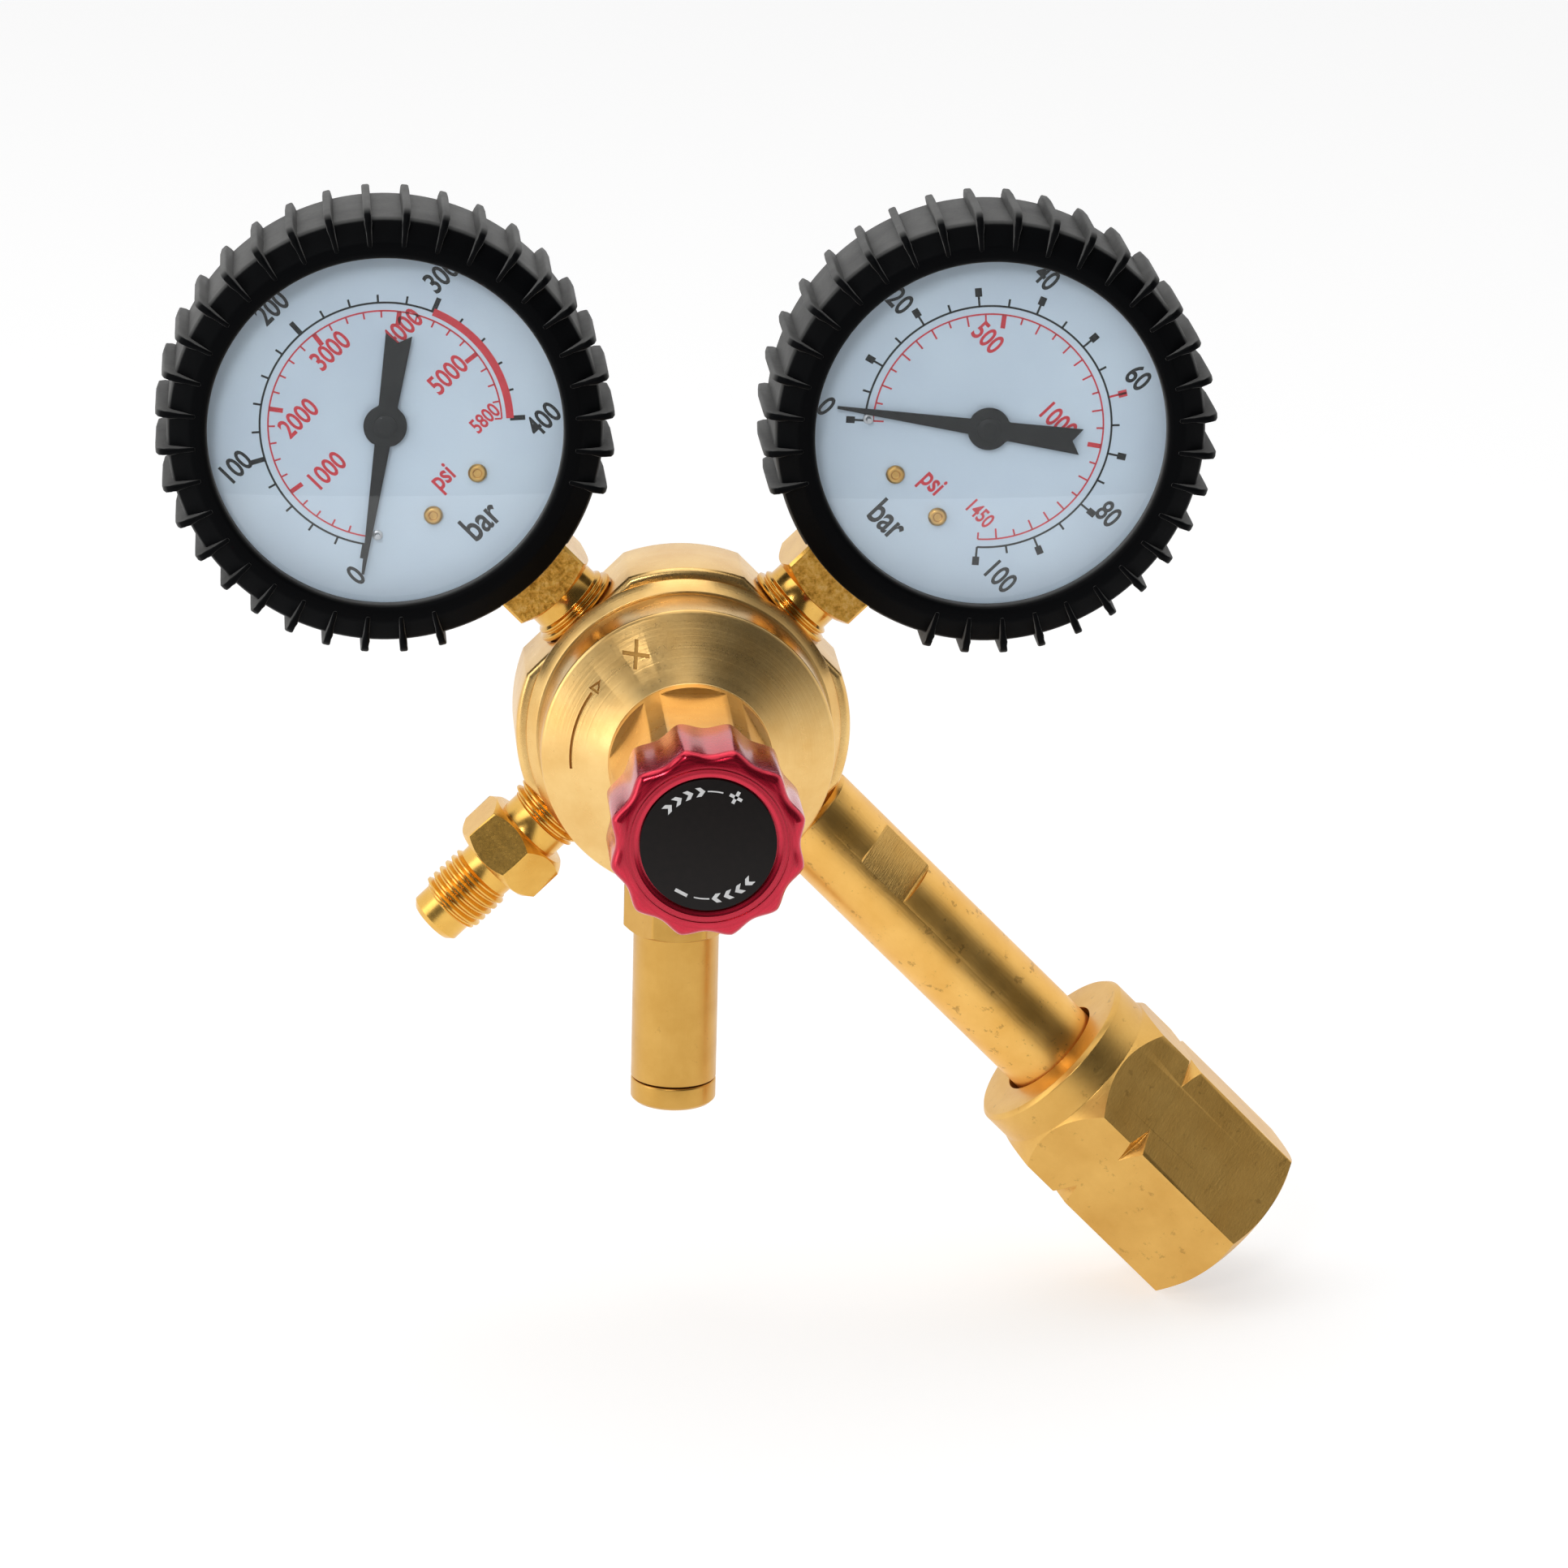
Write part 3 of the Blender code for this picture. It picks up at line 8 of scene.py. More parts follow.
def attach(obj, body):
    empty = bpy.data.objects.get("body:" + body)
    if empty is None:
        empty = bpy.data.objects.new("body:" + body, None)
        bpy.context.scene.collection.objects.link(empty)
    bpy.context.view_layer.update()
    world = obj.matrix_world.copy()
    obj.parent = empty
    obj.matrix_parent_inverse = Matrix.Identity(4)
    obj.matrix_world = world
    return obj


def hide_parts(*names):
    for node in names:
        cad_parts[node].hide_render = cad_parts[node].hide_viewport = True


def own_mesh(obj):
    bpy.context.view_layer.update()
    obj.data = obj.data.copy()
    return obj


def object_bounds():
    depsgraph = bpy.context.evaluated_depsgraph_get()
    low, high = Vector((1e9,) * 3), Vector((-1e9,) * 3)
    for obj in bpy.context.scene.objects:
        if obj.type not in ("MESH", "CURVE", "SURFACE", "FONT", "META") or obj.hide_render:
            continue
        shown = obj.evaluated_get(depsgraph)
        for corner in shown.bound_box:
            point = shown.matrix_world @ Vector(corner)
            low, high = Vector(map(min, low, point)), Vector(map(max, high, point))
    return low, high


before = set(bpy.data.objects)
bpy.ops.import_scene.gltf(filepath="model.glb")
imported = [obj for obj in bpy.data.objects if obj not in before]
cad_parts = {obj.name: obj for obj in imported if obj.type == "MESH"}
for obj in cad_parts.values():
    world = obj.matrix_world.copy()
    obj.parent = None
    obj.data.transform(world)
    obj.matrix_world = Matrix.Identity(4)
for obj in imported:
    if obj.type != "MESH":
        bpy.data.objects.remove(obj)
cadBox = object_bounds()
metres = Matrix.Scale(0.001, 4)  # everything below is modelled in millimetres
near = 1e-4  # points closer than this are one point

layout = {"portPlane": 8.0, "lowerRaise": 4.95, "upperRaise": 1.0, "gaugeReach": 68.2}


# frames: local Z runs out along the axis that a piece is turned about

def portFrame(direction, raised):
    z = Vector(direction).normalized()
    x = Vector((0, 1, 0))
    turn = Matrix((x, z.cross(x), z)).transposed().to_4x4()
    return Matrix.Translation((0, -layout["portPlane"], raised)) @ turn


def gaugeFrame(side):
    z = Vector((0, -1, 0))
    y = Vector((side, 0, 1)).normalized()
    centre = Vector((0, -layout["portPlane"], layout["upperRaise"])) + layout["gaugeReach"] * y
    return Matrix.Translation(centre) @ Matrix((y.cross(z), y, z)).transposed().to_4x4()


knobFrame = Matrix.Rotation(math.radians(90), 4, "X")
inletFrame = portFrame((1, 0, -1), layout["lowerRaise"])
outletFrame = portFrame((-1, 0, -1), layout["lowerRaise"])
reliefFrame = portFrame((0, 0, -1), 0)
gauges = {
    "contents": {"frame": gaugeFrame(-1), "stem": portFrame((-1, 0, 1), layout["upperRaise"])},
    "working": {"frame": gaugeFrame(1), "stem": portFrame((1, 0, 1), layout["upperRaise"])},
}


# shapes

def soften(bm, geom, size, steps, affect="EDGES", clamp=True):
    bmesh.ops.bevel(
        bm,
        geom=geom,
        offset=size,
        offset_type="OFFSET",
        segments=steps,
        profile=0.5,
        affect=affect,
        clamp_overlap=clamp,
        material=-1,
    )


def grow(bm, geom, along):
    grown = bmesh.ops.extrude_face_region(bm, geom=geom)
    moved = [v for v in grown["geom"] if isinstance(v, bmesh.types.BMVert)]
    bmesh.ops.translate(bm, verts=moved, vec=along)


def spin(bm, geom, angle, steps, **more):
    bmesh.ops.spin(bm, geom=geom, cent=(0, 0, 0), axis=(0, 0, 1), angle=angle, steps=steps, **more)


def rimAt(bm, height):
    return [e for e in bm.edges if all(abs(v.co.z - height) < near for v in e.verts)]


def across(turn):
    # the direction at this many degrees from X
    return Vector((math.cos(math.radians(turn)), math.sin(math.radians(turn)), 0))


def turned(points, steps=144, soft=0.25, ring=False):
    # spins a profile of (radius, height); each corner off the axis is softened first
    bm = bmesh.new()
    verts = [bm.verts.new((r, 0, z)) for r, z in points]
    for pair in zip(verts, verts[1:]):
        bm.edges.new(pair)
    if ring:
        bm.edges.new((verts[-1], verts[0]))
    corners = [v for v in verts if len(v.link_edges) == 2 and v.co.x > 0.01]
    if soft:
        soften(bm, corners, soft, 3, affect="VERTICES")
    spin(bm, bm.verts[:] + bm.edges[:], 2 * math.pi, steps, use_merge=True)
    return tidy(bm)


def arcBar(section, first, last, steps):
    # sweeps a section of (radius, height) about Z, between two angles in degrees from X
    bm = bmesh.new()
    start = across(first)
    face = bm.faces.new([bm.verts.new((r * start.x, r * start.y, z)) for r, z in section])
    spin(bm, face.verts[:] + face.edges[:] + [face], math.radians(last - first), steps)
    return tidy(bm)


def tidy(bm):
    bmesh.ops.remove_doubles(bm, verts=bm.verts, dist=near)
    bmesh.ops.recalc_face_normals(bm, faces=bm.faces)
    return bm


def prism(outline, low, high):
    bm = bmesh.new()
    face = bm.faces.new([bm.verts.new((x, y, low)) for x, y in outline])
    grow(bm, [face], (0, 0, high - low))
    return tidy(bm)


def box(low, high):
    bm = bmesh.new()
    bmesh.ops.create_cube(bm, size=1)
    size = [h - l for l, h in zip(low, high)]
    bmesh.ops.scale(bm, verts=bm.verts, vec=size)
    bmesh.ops.translate(bm, verts=bm.verts, vec=[(l + h) / 2 for l, h in zip(low, high)])
    return bm


def sleeve(sides, flats, low, high, reach, turn=0.0):
    # round outside, flat-sided hole: what it takes away leaves milled flats
    bm = bmesh.new()
    bmesh.ops.create_circle(bm, segments=sides * 12, radius=reach)
    grown = bmesh.ops.extrude_edge_only(bm, edges=bm.edges[:])
    for v in (v for v in grown["geom"] if isinstance(v, bmesh.types.BMVert)):
        angle = math.atan2(v.co.y, v.co.x)
        offFlat = (angle % (2 * math.pi / sides)) - math.pi / sides
        v.co *= flats / 2 / math.cos(offFlat) / reach
    grow(bm, bm.faces[:], (0, 0, high - low))
    bmesh.ops.translate(bm, verts=bm.verts, vec=(0, 0, low))
    bmesh.ops.rotate(bm, verts=bm.verts, cent=(0, 0, 0), matrix=Matrix.Rotation(turn, 3, "Z"))
    return tidy(bm)


def bench(bm):
    mesh = bpy.data.meshes.new("bench")
    bm.to_mesh(mesh)
    bm.free()
    part = bpy.data.objects.new("bench", mesh)
    bpy.context.scene.collection.objects.link(part)
    return part


def carve(bm, *tools, operation="DIFFERENCE"):
    # the tools are used up
    part = bench(bm)
    others = [bench(tool) for tool in tools]
    for other in others:
        step = part.modifiers.new("carve", "BOOLEAN")
        step.operation = operation
        step.object = other
        step.solver = "EXACT"
    bpy.context.view_layer.update()
    result = bmesh.new()
    shaped = part.evaluated_get(bpy.context.evaluated_depsgraph_get())
    result.from_mesh(shaped.to_mesh())
    shaped.to_mesh_clear()
    for used in [part] + others:
        mesh = used.data
        bpy.data.objects.remove(used)
        bpy.data.meshes.remove(mesh)
    return result


def join(bm, *others):
    for other in others:
        mesh = bpy.data.meshes.new("joined")
        other.to_mesh(mesh)
        other.free()
        bm.from_mesh(mesh)
        bpy.data.meshes.remove(mesh)
    return bm


def threadRidge(radius, depth, pitch, low, high):
    steps = 36
    turns = (high - low) / pitch + 1
    root, crest = radius - depth, radius + 0.02
    bm = bmesh.new()
    section = [(root - 0.15, -0.48), (radius, -0.1), (radius, 0.1), (root - 0.15, 0.48)]
    verts = [bm.verts.new((r, 0, low - pitch / 2 + z * pitch)) for r, z in section]
    for first, second in zip(verts, verts[1:] + verts[:1]):
        bm.edges.new((first, second))
    rise = (0, 0, pitch / steps)
    spin(bm, bm.verts[:] + bm.edges[:], 2 * math.pi * turns, round(turns * steps), dvec=rise)
    bmesh.ops.holes_fill(bm, edges=[e for e in bm.edges if e.is_boundary], sides=0)
    bmesh.ops.recalc_face_normals(bm, faces=bm.faces)
    run = 0.7 * depth
    outline = [(0, low), (root, low), (crest, low + run), (crest, high - run), (root, high), (0, high)]
    return carve(bm, turned(outline, 72, 0), operation="INTERSECT")


def place(name, bm, where, materials, body, stands=(), sharp=32):
    bm.transform(metres @ where)
    bmesh.ops.remove_doubles(bm, verts=bm.verts, dist=1e-7)
    bmesh.ops.recalc_face_normals(bm, faces=bm.faces)
    mesh = bpy.data.meshes.new(name)
    bm.to_mesh(mesh)
    bm.free()
    for material in materials:
        mesh.materials.append(material)
    mesh.shade_smooth()
    mesh.set_sharp_from_angle(angle=math.radians(sharp))
    piece = bpy.data.objects.new(name, mesh)
    bpy.context.scene.collection.objects.link(piece)
    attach(piece, body)
    if stands:
        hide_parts(*stands)
    return piece


def paint(bm, index, test):
    for face in bm.faces:
        if test(face.calc_center_median(), face.normal):
            face.material_index = index
    return bm


# materials

def colour(text):
    parts = [int(text[i : i + 2], 16) / 255 for i in (1, 3, 5)]
    linear = [c / 12.92 if c <= 0.04045 else ((c + 0.055) / 1.055) ** 2.4 for c in parts]
    return (*linear, 1)


def addNode(tree, kind, settings=None, inputs=None):
    made = tree.nodes.new("ShaderNode" + kind)
    for key, value in (settings or {}).items():
        setattr(made, key, value)
    for key, value in (inputs or {}).items():
        socket = made.inputs[key]
        if isinstance(value, bpy.types.NodeSocket):
            tree.links.new(value, socket)
        else:
            socket.default_value = value
    return made


def newMaterial(name, look):
    material = bpy.data.materials.new(name)
    material.use_nodes = True
    shader = material.node_tree.nodes["Principled BSDF"]
    for key, value in look.items():
        shader.inputs[key].default_value = value
    return material, material.node_tree, shader


def compute(tree, operation, *values):
    return addNode(tree, "Math", {"operation": operation}, dict(enumerate(values))).outputs[0]


def objectPoint(tree):
    return addNode(tree, "TexCoord").outputs["Object"]


def noise(tree, vector, scale, detail, rough):
    inputs = {"Vector": vector, "Scale": scale, "Detail": detail, "Roughness": rough}
    return addNode(tree, "TexNoise", None, inputs).outputs["Fac"]


def blended(tree, share, first, second):
    return addNode(tree, "Mix", {"data_type": "RGBA"}, {"Factor": share, 6: first, 7: second}).outputs[2]


def ranged(tree, value, limits):
    return addNode(tree, "MapRange", None, {"Value": value, **limits}).outputs[0]


def feed(tree, shader, sources):
    for key, source in sources.items():
        tree.links.new(source, shader.inputs[key])


def bumped(tree, height, strength, distance):
    inputs = {"Strength": strength, "Distance": distance, "Height": height}
    return addNode(tree, "Bump", None, inputs).outputs[0]


def latheCoords(tree, where):
    # the point on a piece's own axes, and (distance from its axis, 0, place along it), in mm
    unit = 0.001
    mapped = addNode(
        tree,
        "Mapping",
        {"vector_type": "TEXTURE"},
        {
            "Vector": objectPoint(tree),
            "Location": where.to_translation() * unit,
            "Rotation": where.to_euler(),
            "Scale": (unit, unit, unit),
        },
    )
    flat = addNode(tree, "VectorMath", {"operation": "MULTIPLY"}, {0: mapped.outputs[0], 1: (1, 1, 0)})
    reach = addNode(tree, "VectorMath", {"operation": "LENGTH"}, {0: flat.outputs[0]})
    split = addNode(tree, "SeparateXYZ", None, {0: mapped.outputs[0]})
    lines = addNode(tree, "CombineXYZ", None, {"X": reach.outputs["Value"], "Z": split.outputs["Z"]})
    return mapped.outputs[0], lines.outputs[0]


def ramp(tree, value, stops):
    made = addNode(tree, "ValToRGB", None, {"Fac": value})
    band = made.color_ramp
    while len(band.elements) < len(stops):
        band.elements.new(0.5)
    for element, (spot, tone) in zip(band.elements, stops):
        element.position = spot
        element.color = tone if isinstance(tone, tuple) else (tone, tone, tone, 1)
    return made.outputs["Color"]


def brass(name, where, look):
    # free-cutting brass off the lathe: warm yellow, with fine rings that catch the light
    material, tree, shader = newMaterial(name, {"Metallic": 1.0})
    point, lines = latheCoords(tree, where)
    rings = noise(tree, lines, 1 / look["ringSpacing"], 3, 0.65)
    wide = noise(tree, lines, 0.18 / look["ringSpacing"], 2, 0.5)
    cloud = noise(tree, point, 0.11, 5, 0.6)
    along = addNode(tree, "VectorMath", {"operation": "MULTIPLY"}, {0: point, 1: look["grain"]})
    scratch = noise(tree, along.outputs[0], 1.0, 3, 0.6)
    spots = noise(tree, point, 0.45, 4, 0.7)
    tone = ramp(tree, cloud, [(0.2, colour(look["deep"])), (0.8, colour(look["light"]))])
    stain = ramp(tree, spots, [(look["stainFrom"], 0.0), (look["stainFrom"] + 0.06, look["stain"])])
    smooth, dull = look["rough"] - look["roughSpread"], look["rough"] + look["roughSpread"]
    ringRough = addNode(tree, "Mix", None, {"Factor": wide, 2: smooth, 3: dull}).outputs[0]
    moreRough = compute(tree, "MULTIPLY_ADD", scratch, 0.12, ringRough)
    height = compute(tree, "MULTIPLY_ADD", scratch, look["grainShare"], rings)
    feed(
        tree,
        shader,
        {
            "Base Color": blended(tree, stain, tone, colour(look["tarnish"])),
            "Roughness": compute(tree, "SUBTRACT", moreRough, 0.06),
            "Normal": bumped(tree, height, look["bump"], 0.00005),
        },
    )
    return material


brassLook = {
    "ringSpacing": 0.35,
    "grain": (2.0, 2.0, 2.0),
    "grainShare": 0.3,
    "deep": "#E2B268",
    "light": "#F8D38E",
    "tarnish": "#8E6A3A",
    "stain": 0.25,
    "stainFrom": 0.66,
    "rough": 0.3,
    "roughSpread": 0.06,
    "bump": 0.35,
}
satinBrass = brass("satin turned brass", knobFrame, brassLook)
grooveBrass = brass(
    "tarnish in the engraving",
    knobFrame,
    {**brassLook, "deep": "#A57C40", "light": "#BC9150", "rough": 0.45},
)
barBrass = brass(
    "drawn brass bar",
    inletFrame,
    {
        **brassLook,
        "deep": "#E8AF54",
        "light": "#FBC973",
        "grain": (3.0, 3.0, 0.25),
        "grainShare": 1.0,
        "ringSpacing": 0.8,
        "stain": 0.5,
        "stainFrom": 0.6,
        "rough": 0.34,
        "bump": 0.3,
    },
)
nutBrass = brass(
    "milled brass bar",
    inletFrame,
    {
        **brassLook,
        "deep": "#D6A454",
        "light": "#EBBD6A",
        "grain": (1.2, 1.2, 3.5),
        "grainShare": 1.2,
        "ringSpacing": 0.6,
        "stain": 0.35,
        "stainFrom": 0.62,
        "rough": 0.36,
        "bump": 0.3,
    },
)
millBrass = brass(
    "cross-milled brass",
    inletFrame,
    {
        **brassLook,
        "deep": "#C39246",
        "light": "#E6BC70",
        "grain": (0.4, 0.4, 5.0),
        "grainShare": 2.5,
        "ringSpacing": 0.3,
        "rough": 0.36,
        "bump": 0.8,
    },
)
outletBrass = brass(
    "bright turned brass",
    outletFrame,
    {
        **brassLook,
        "deep": "#DDA446",
        "light": "#F6C86C",
        "rough": 0.25,
        "roughSpread": 0.04,
        "grainShare": 0.1,
        "bump": 0.1,
    },
)
reliefBrass = brass(
    "brushed brass bar",
    reliefFrame,
    {
        **brassLook,
        "deep": "#C99848",
        "light": "#DEB060",
        "grain": (3.0, 3.0, 0.3),
        "grainShare": 1.0,
        "ringSpacing": 0.6,
        "rough": 0.33,
        "bump": 0.25,
    },
)


def roughCutBrass():
    # stock left as it was sawn: torn grains about half a millimetre across
    material, tree, shader = newMaterial("rough sawn brass", {"Metallic": 1.0, "Roughness": 0.34})
    point = objectPoint(tree)
    torn = noise(tree, point, 900.0, 8, 0.75)
    cells = addNode(tree, "TexVoronoi", None, {"Vector": point, "Scale": 1100.0})
    tone = ramp(tree, torn, [(0.32, colour("#8A5E1E")), (0.5, colour("#D9A64A")), (0.7, colour("#F0CC7E"))])
    height = compute(tree, "MULTIPLY_ADD", cells.outputs["Distance"], 0.6, torn)
    feed(tree, shader, {"Base Color": tone, "Normal": bumped(tree, height, 0.9, 0.0004)})
    return material


def anodised():
    # anodised aluminium: a clear red dye film over bright turned metal
    look = {"Metallic": 0.9, "Coat Weight": 0.6, "Coat Roughness": 0.12}
    material, tree, shader = newMaterial("red anodised aluminium", look)
    lines = latheCoords(tree, knobFrame)[1]
    rings = noise(tree, lines, 3.0, 3, 0.6)
    tone = ramp(tree, rings, [(0.3, colour("#B8102E")), (0.7, colour("#D8203E"))])
    rough = ramp(tree, rings, [(0.25, 0.2), (0.75, 0.32)])
    feed(
        tree, shader, {"Base Color": tone, "Roughness": rough, "Normal": bumped(tree, rings, 0.2, 0.00004)}
    )
    return material


def bootRubber():
    # moulded black rubber: dull, the side walls painted lighter as a painted sheen, mottled by a dust noise
    material, tree, shader = newMaterial("moulded rubber", {"Specular IOR Level": 0.06})
    geometry = addNode(tree, "NewGeometry")
    facing = addNode(tree, "SeparateXYZ", None, {0: geometry.outputs["Normal"]})
    point = objectPoint(tree)
    dust = noise(tree, point, 55.0, 7, 0.65)
    fine = noise(tree, point, 1800.0, 4, 0.6)
    # painted sheen: faces turned across the boot's axis get a lighter grey, broken up by the dust noise
    flat = compute(tree, "ABSOLUTE", facing.outputs["Y"])
    side = ranged(tree, flat, {"From Min": 0.25, "From Max": 0.75, "To Min": 1.0, "To Max": 0.0})
    dustAndSheen = compute(tree, "MULTIPLY", side, ramp(tree, dust, [(0.3, 0.45), (0.7, 1.0)]))
    feed(
        tree,
        shader,
        {
            "Base Color": blended(tree, dustAndSheen, colour("#060709"), colour("#6E6E6D")),
            "Roughness": ranged(tree, fine, {"To Min": 0.42, "To Max": 0.62}),
            "Normal": bumped(tree, fine, 0.25, 0.00006),
        },
    )
    return material


def speckled(name, low, high, scale, look):
    # a plain finish with the small unevenness that a real surface keeps
    material, tree, shader = newMaterial(name, look)
    cloud = noise(tree, objectPoint(tree), scale, 5, 0.6)
    tone = ramp(tree, cloud, [(0.3, colour(low)), (0.7, colour(high))])
    feed(tree, shader, {"Base Color": tone, "Normal": bumped(tree, cloud, 0.1, 0.00005)})
    return material


def windowGlass():
    # float glass: clear, polished, and it lets the lamps through to the dial
    look = {"Base Color": colour("#F4F8FA"), "Roughness": 0.0, "IOR": 1.5, "Transmission Weight": 1.0}
    material, tree, shader = newMaterial("clear float glass", look)
    path = addNode(tree, "LightPath")
    clear = addNode(tree, "BsdfTransparent")
    blend = addNode(
        tree,
        "MixShader",
        None,
        {0: path.outputs["Is Shadow Ray"], 1: shader.outputs[0], 2: clear.outputs[0]},
    )
    tree.links.new(blend.outputs[0], tree.nodes["Material Output"].inputs["Surface"])
    return material


sawnBrass = roughCutBrass()
redMetal = anodised()
labelBlack = speckled(
    "black printed film", "#120D0C", "#181210", 900, {"Roughness": 0.5, "Specular IOR Level": 0.25}
)
printWhite = speckled("white printing ink", "#E9E9E9", "#F4F4F4", 900, {"Roughness": 0.5})
dialPaint = speckled("white enamelled dial", "#BECBD9", "#C6D3DF", 60, {"Roughness": 0.45})
printBlack = speckled(
    "black printing ink", "#060708", "#0D0E10", 900, {"Roughness": 0.6, "Specular IOR Level": 0.2}
)
printRed = speckled("red printing ink", "#C01828", "#CE2434", 900, {"Roughness": 0.5})
pointerBlack = speckled(
    "black lacquered brass", "#050506", "#0A0A0B", 700, {"Roughness": 0.45, "Specular IOR Level": 0.2}
)
caseEnamel = speckled(
    "black stove enamel", "#121214", "#1A1A1C", 400, {"Roughness": 0.3, "Coat Weight": 0.3}
)
plainSteel = speckled("bright steel", "#B4B4B6", "#C8C8CA", 700, {"Metallic": 1.0, "Roughness": 0.3})
sinteredBronze = speckled(
    "sintered bronze", "#8A6238", "#A57A48", 3000, {"Metallic": 1.0, "Roughness": 0.55}
)
sheetRubber = speckled("woven-backed rubber sheet", "#1C1C1D", "#262627", 900, {"Roughness": 0.7})
nylon = speckled("natural nylon", "#D9D6C8", "#E6E3D8", 500, {"Roughness": 0.45, "Subsurface Weight": 0.1})
movementBrass = speckled(
    "stamped sheet brass", "#C09048", "#D8AC62", 500, {"Metallic": 1.0, "Roughness": 0.3}
)
windowClear = windowGlass()
print("materials ready")


# body block with its collar, threaded boss, chamber and ports
bodyBlock = {
    "radius": 27.0, "thickness": 16.0, "rim": 1.0, "flat": 24.5, "lowFlat": 25.5, "collar": 25.4,
    "collarFront": 23.9, "collarRise": 2.4, "boss": 20.6, "bossRise": 7.5, "port": 6.8, "reliefPort": 5.15,
    "portDepth": 8.5,
}


def flatAt(raised, upward):
    return bodyBlock["flat"] + (-raised if upward else raised) / math.sqrt(2)


def makeBody():
    b = bodyBlock
    bm = bmesh.new()
    bmesh.ops.create_circle(bm, cap_ends=True, segments=192, radius=b["radius"])
    flats = [(turn, b["flat"]) for turn in (45, 135, 225, 315)] + [(270, b["lowFlat"])]
    for turn, reach in flats:
        geom = bm.verts[:] + bm.edges[:] + bm.faces[:]
        bmesh.ops.bisect_plane(
            bm, geom=geom, dist=1e-5, plane_co=across(turn) * reach, plane_no=across(turn), clear_outer=True
        )
    front = b["thickness"]
    grow(bm, bm.faces[:], (0, 0, front))
    bmesh.ops.recalc_face_normals(bm, faces=bm.faces)
    soften(bm, rimAt(bm, front), b["rim"], 4)
    soften(bm, rimAt(bm, 0), 0.5 * b["rim"], 4)
    inset, top, bossTop = b["collarFront"] - 1, front + b["collarRise"], front + b["bossRise"]
    collar = turned(
        [
            (0, front - 1), (inset, front - 1), (inset, front - 0.1), (b["collar"], front - 0.1),
            (b["collar"], front + 0.4), (b["collarFront"], top), (b["boss"], top), (b["boss"], bossTop),
            (0, bossTop),
        ],
        192,
        0.12,
    )
    bm = carve(bm, collar, operation="UNION")
    # the valve's bore, the step its seat screws into, and the chamber under the diaphragm
    tools = [
        turned(
            [(0, 3.5), (4.6, 3.5), (4.6, 11), (6.3, 11), (6.3, 16.6), (17, 16.6), (17, 26), (0, 26)], 96, 0
        )
    ]
    upper = flatAt(layout["upperRaise"], True)
    lower = flatAt(layout["lowerRaise"], False)
    ports = [(parts["stem"], upper, b["port"]) for parts in gauges.values()] + [
        (inletFrame, lower, b["port"]), (outletFrame, lower, b["port"]),
        (reliefFrame, b["lowFlat"], b["reliefPort"]),
    ]
    for where, reach, size in ports:
        floor, mouth = reach - b["portDepth"], reach + 3
        port = turned(
            [
                (0, floor), (size, floor), (size, reach - 0.5), (size + 0.5, reach), (size + 0.5, mouth),
                (0, mouth),
            ],
            64,
            0,
        )
        port.transform(knobFrame.inverted() @ where)
        tools.append(port)
    place("bodyBlock", carve(bm, *tools), knobFrame, [satinBrass], "root", ["body"])


# bonnet, engraved on its cone
bonnet = {
    "radius": 23.5, "back": 18.7, "front": 28.0, "rim": 0.3, "neck": 13.1, "coneTop": 34.0,
    "neckFront": 64.5, "flats": 24.0, "flatsFrom": 36.0, "thread": 20.9, "clampFrom": 26,
    "springBore": 10.6, "screwBore": 5.0, "screwFrom": 56,
}
engraving = {
    "plus": (-8.8, 16.9), "plusSize": 4.3, "plusTurn": -4, "stroke": 0.6, "arrow": (-14.9, 11.6),
    "arrowSize": 2.3, "arc": 18.9, "arcFrom": 146, "arcTo": 186, "depth": 0.45, "low": 26, "high": 40,
}


def coneHeight(radius):
    b = bonnet
    return b["front"] + (b["radius"] - radius) * (b["coneTop"] - b["front"]) / (b["radius"] - b["neck"])


def engravingTool():
    e = engraving
    low, high = e["low"], e["high"]
    size, half = e["plusSize"] / 2, e["stroke"] / 2
    x, y = e["plus"]
    lean = Matrix.Translation((x, y, 0)) @ Matrix.Rotation(math.radians(e["plusTurn"]), 4, "Z")
    arms = [box((-size, -half, low), (size, half, high)), box((-half, -size, low), (half, size, high))]
    for arm in arms:
        arm.transform(lean)
    plus = carve(arms[0], arms[1], operation="UNION")
    x, y = e["arrow"]
    s = e["arrowSize"] / 2
    outer = [(x + 0.5 * s, y + s), (x - 1.1 * s, y - 0.3 * s), (x + 0.2 * s, y - 1.0 * s)]
    inner = [(x + 0.22 * s, y + 0.45 * s), (x - 0.55 * s, y - 0.2 * s), (x + 0.08 * s, y - 0.52 * s)]
    tip = carve(prism(outer, low, high), prism(inner, low - 1, high + 1))
    small, large = e["arc"] - 0.35 * e["stroke"], e["arc"] + 0.35 * e["stroke"]
    section = [(small, low), (large, low), (large, high), (small, high)]
    arc = arcBar(section, e["arcFrom"], e["arcTo"], 24)
    return [underCut(tool) for tool in (plus, tip, arc)]


def underCut(tool):
    # leaves only what reaches deeper than the cone by the engraving's depth
    inner, outer = 10, 26
    low, high = coneHeight(outer) - engraving["depth"], coneHeight(inner) - engraving["depth"]
    core = turned([(0, 20), (outer, 20), (outer, low), (inner, high), (0, high)], 96, 0)
    return carve(tool, core)


def engraved(spot, normal):
    reach = math.hypot(spot.x, spot.y)
    depth = coneHeight(reach) - spot.z
    return 14 < reach < 21.5 and normal.z > 0.3 and abs(depth - engraving["depth"]) < 0.1


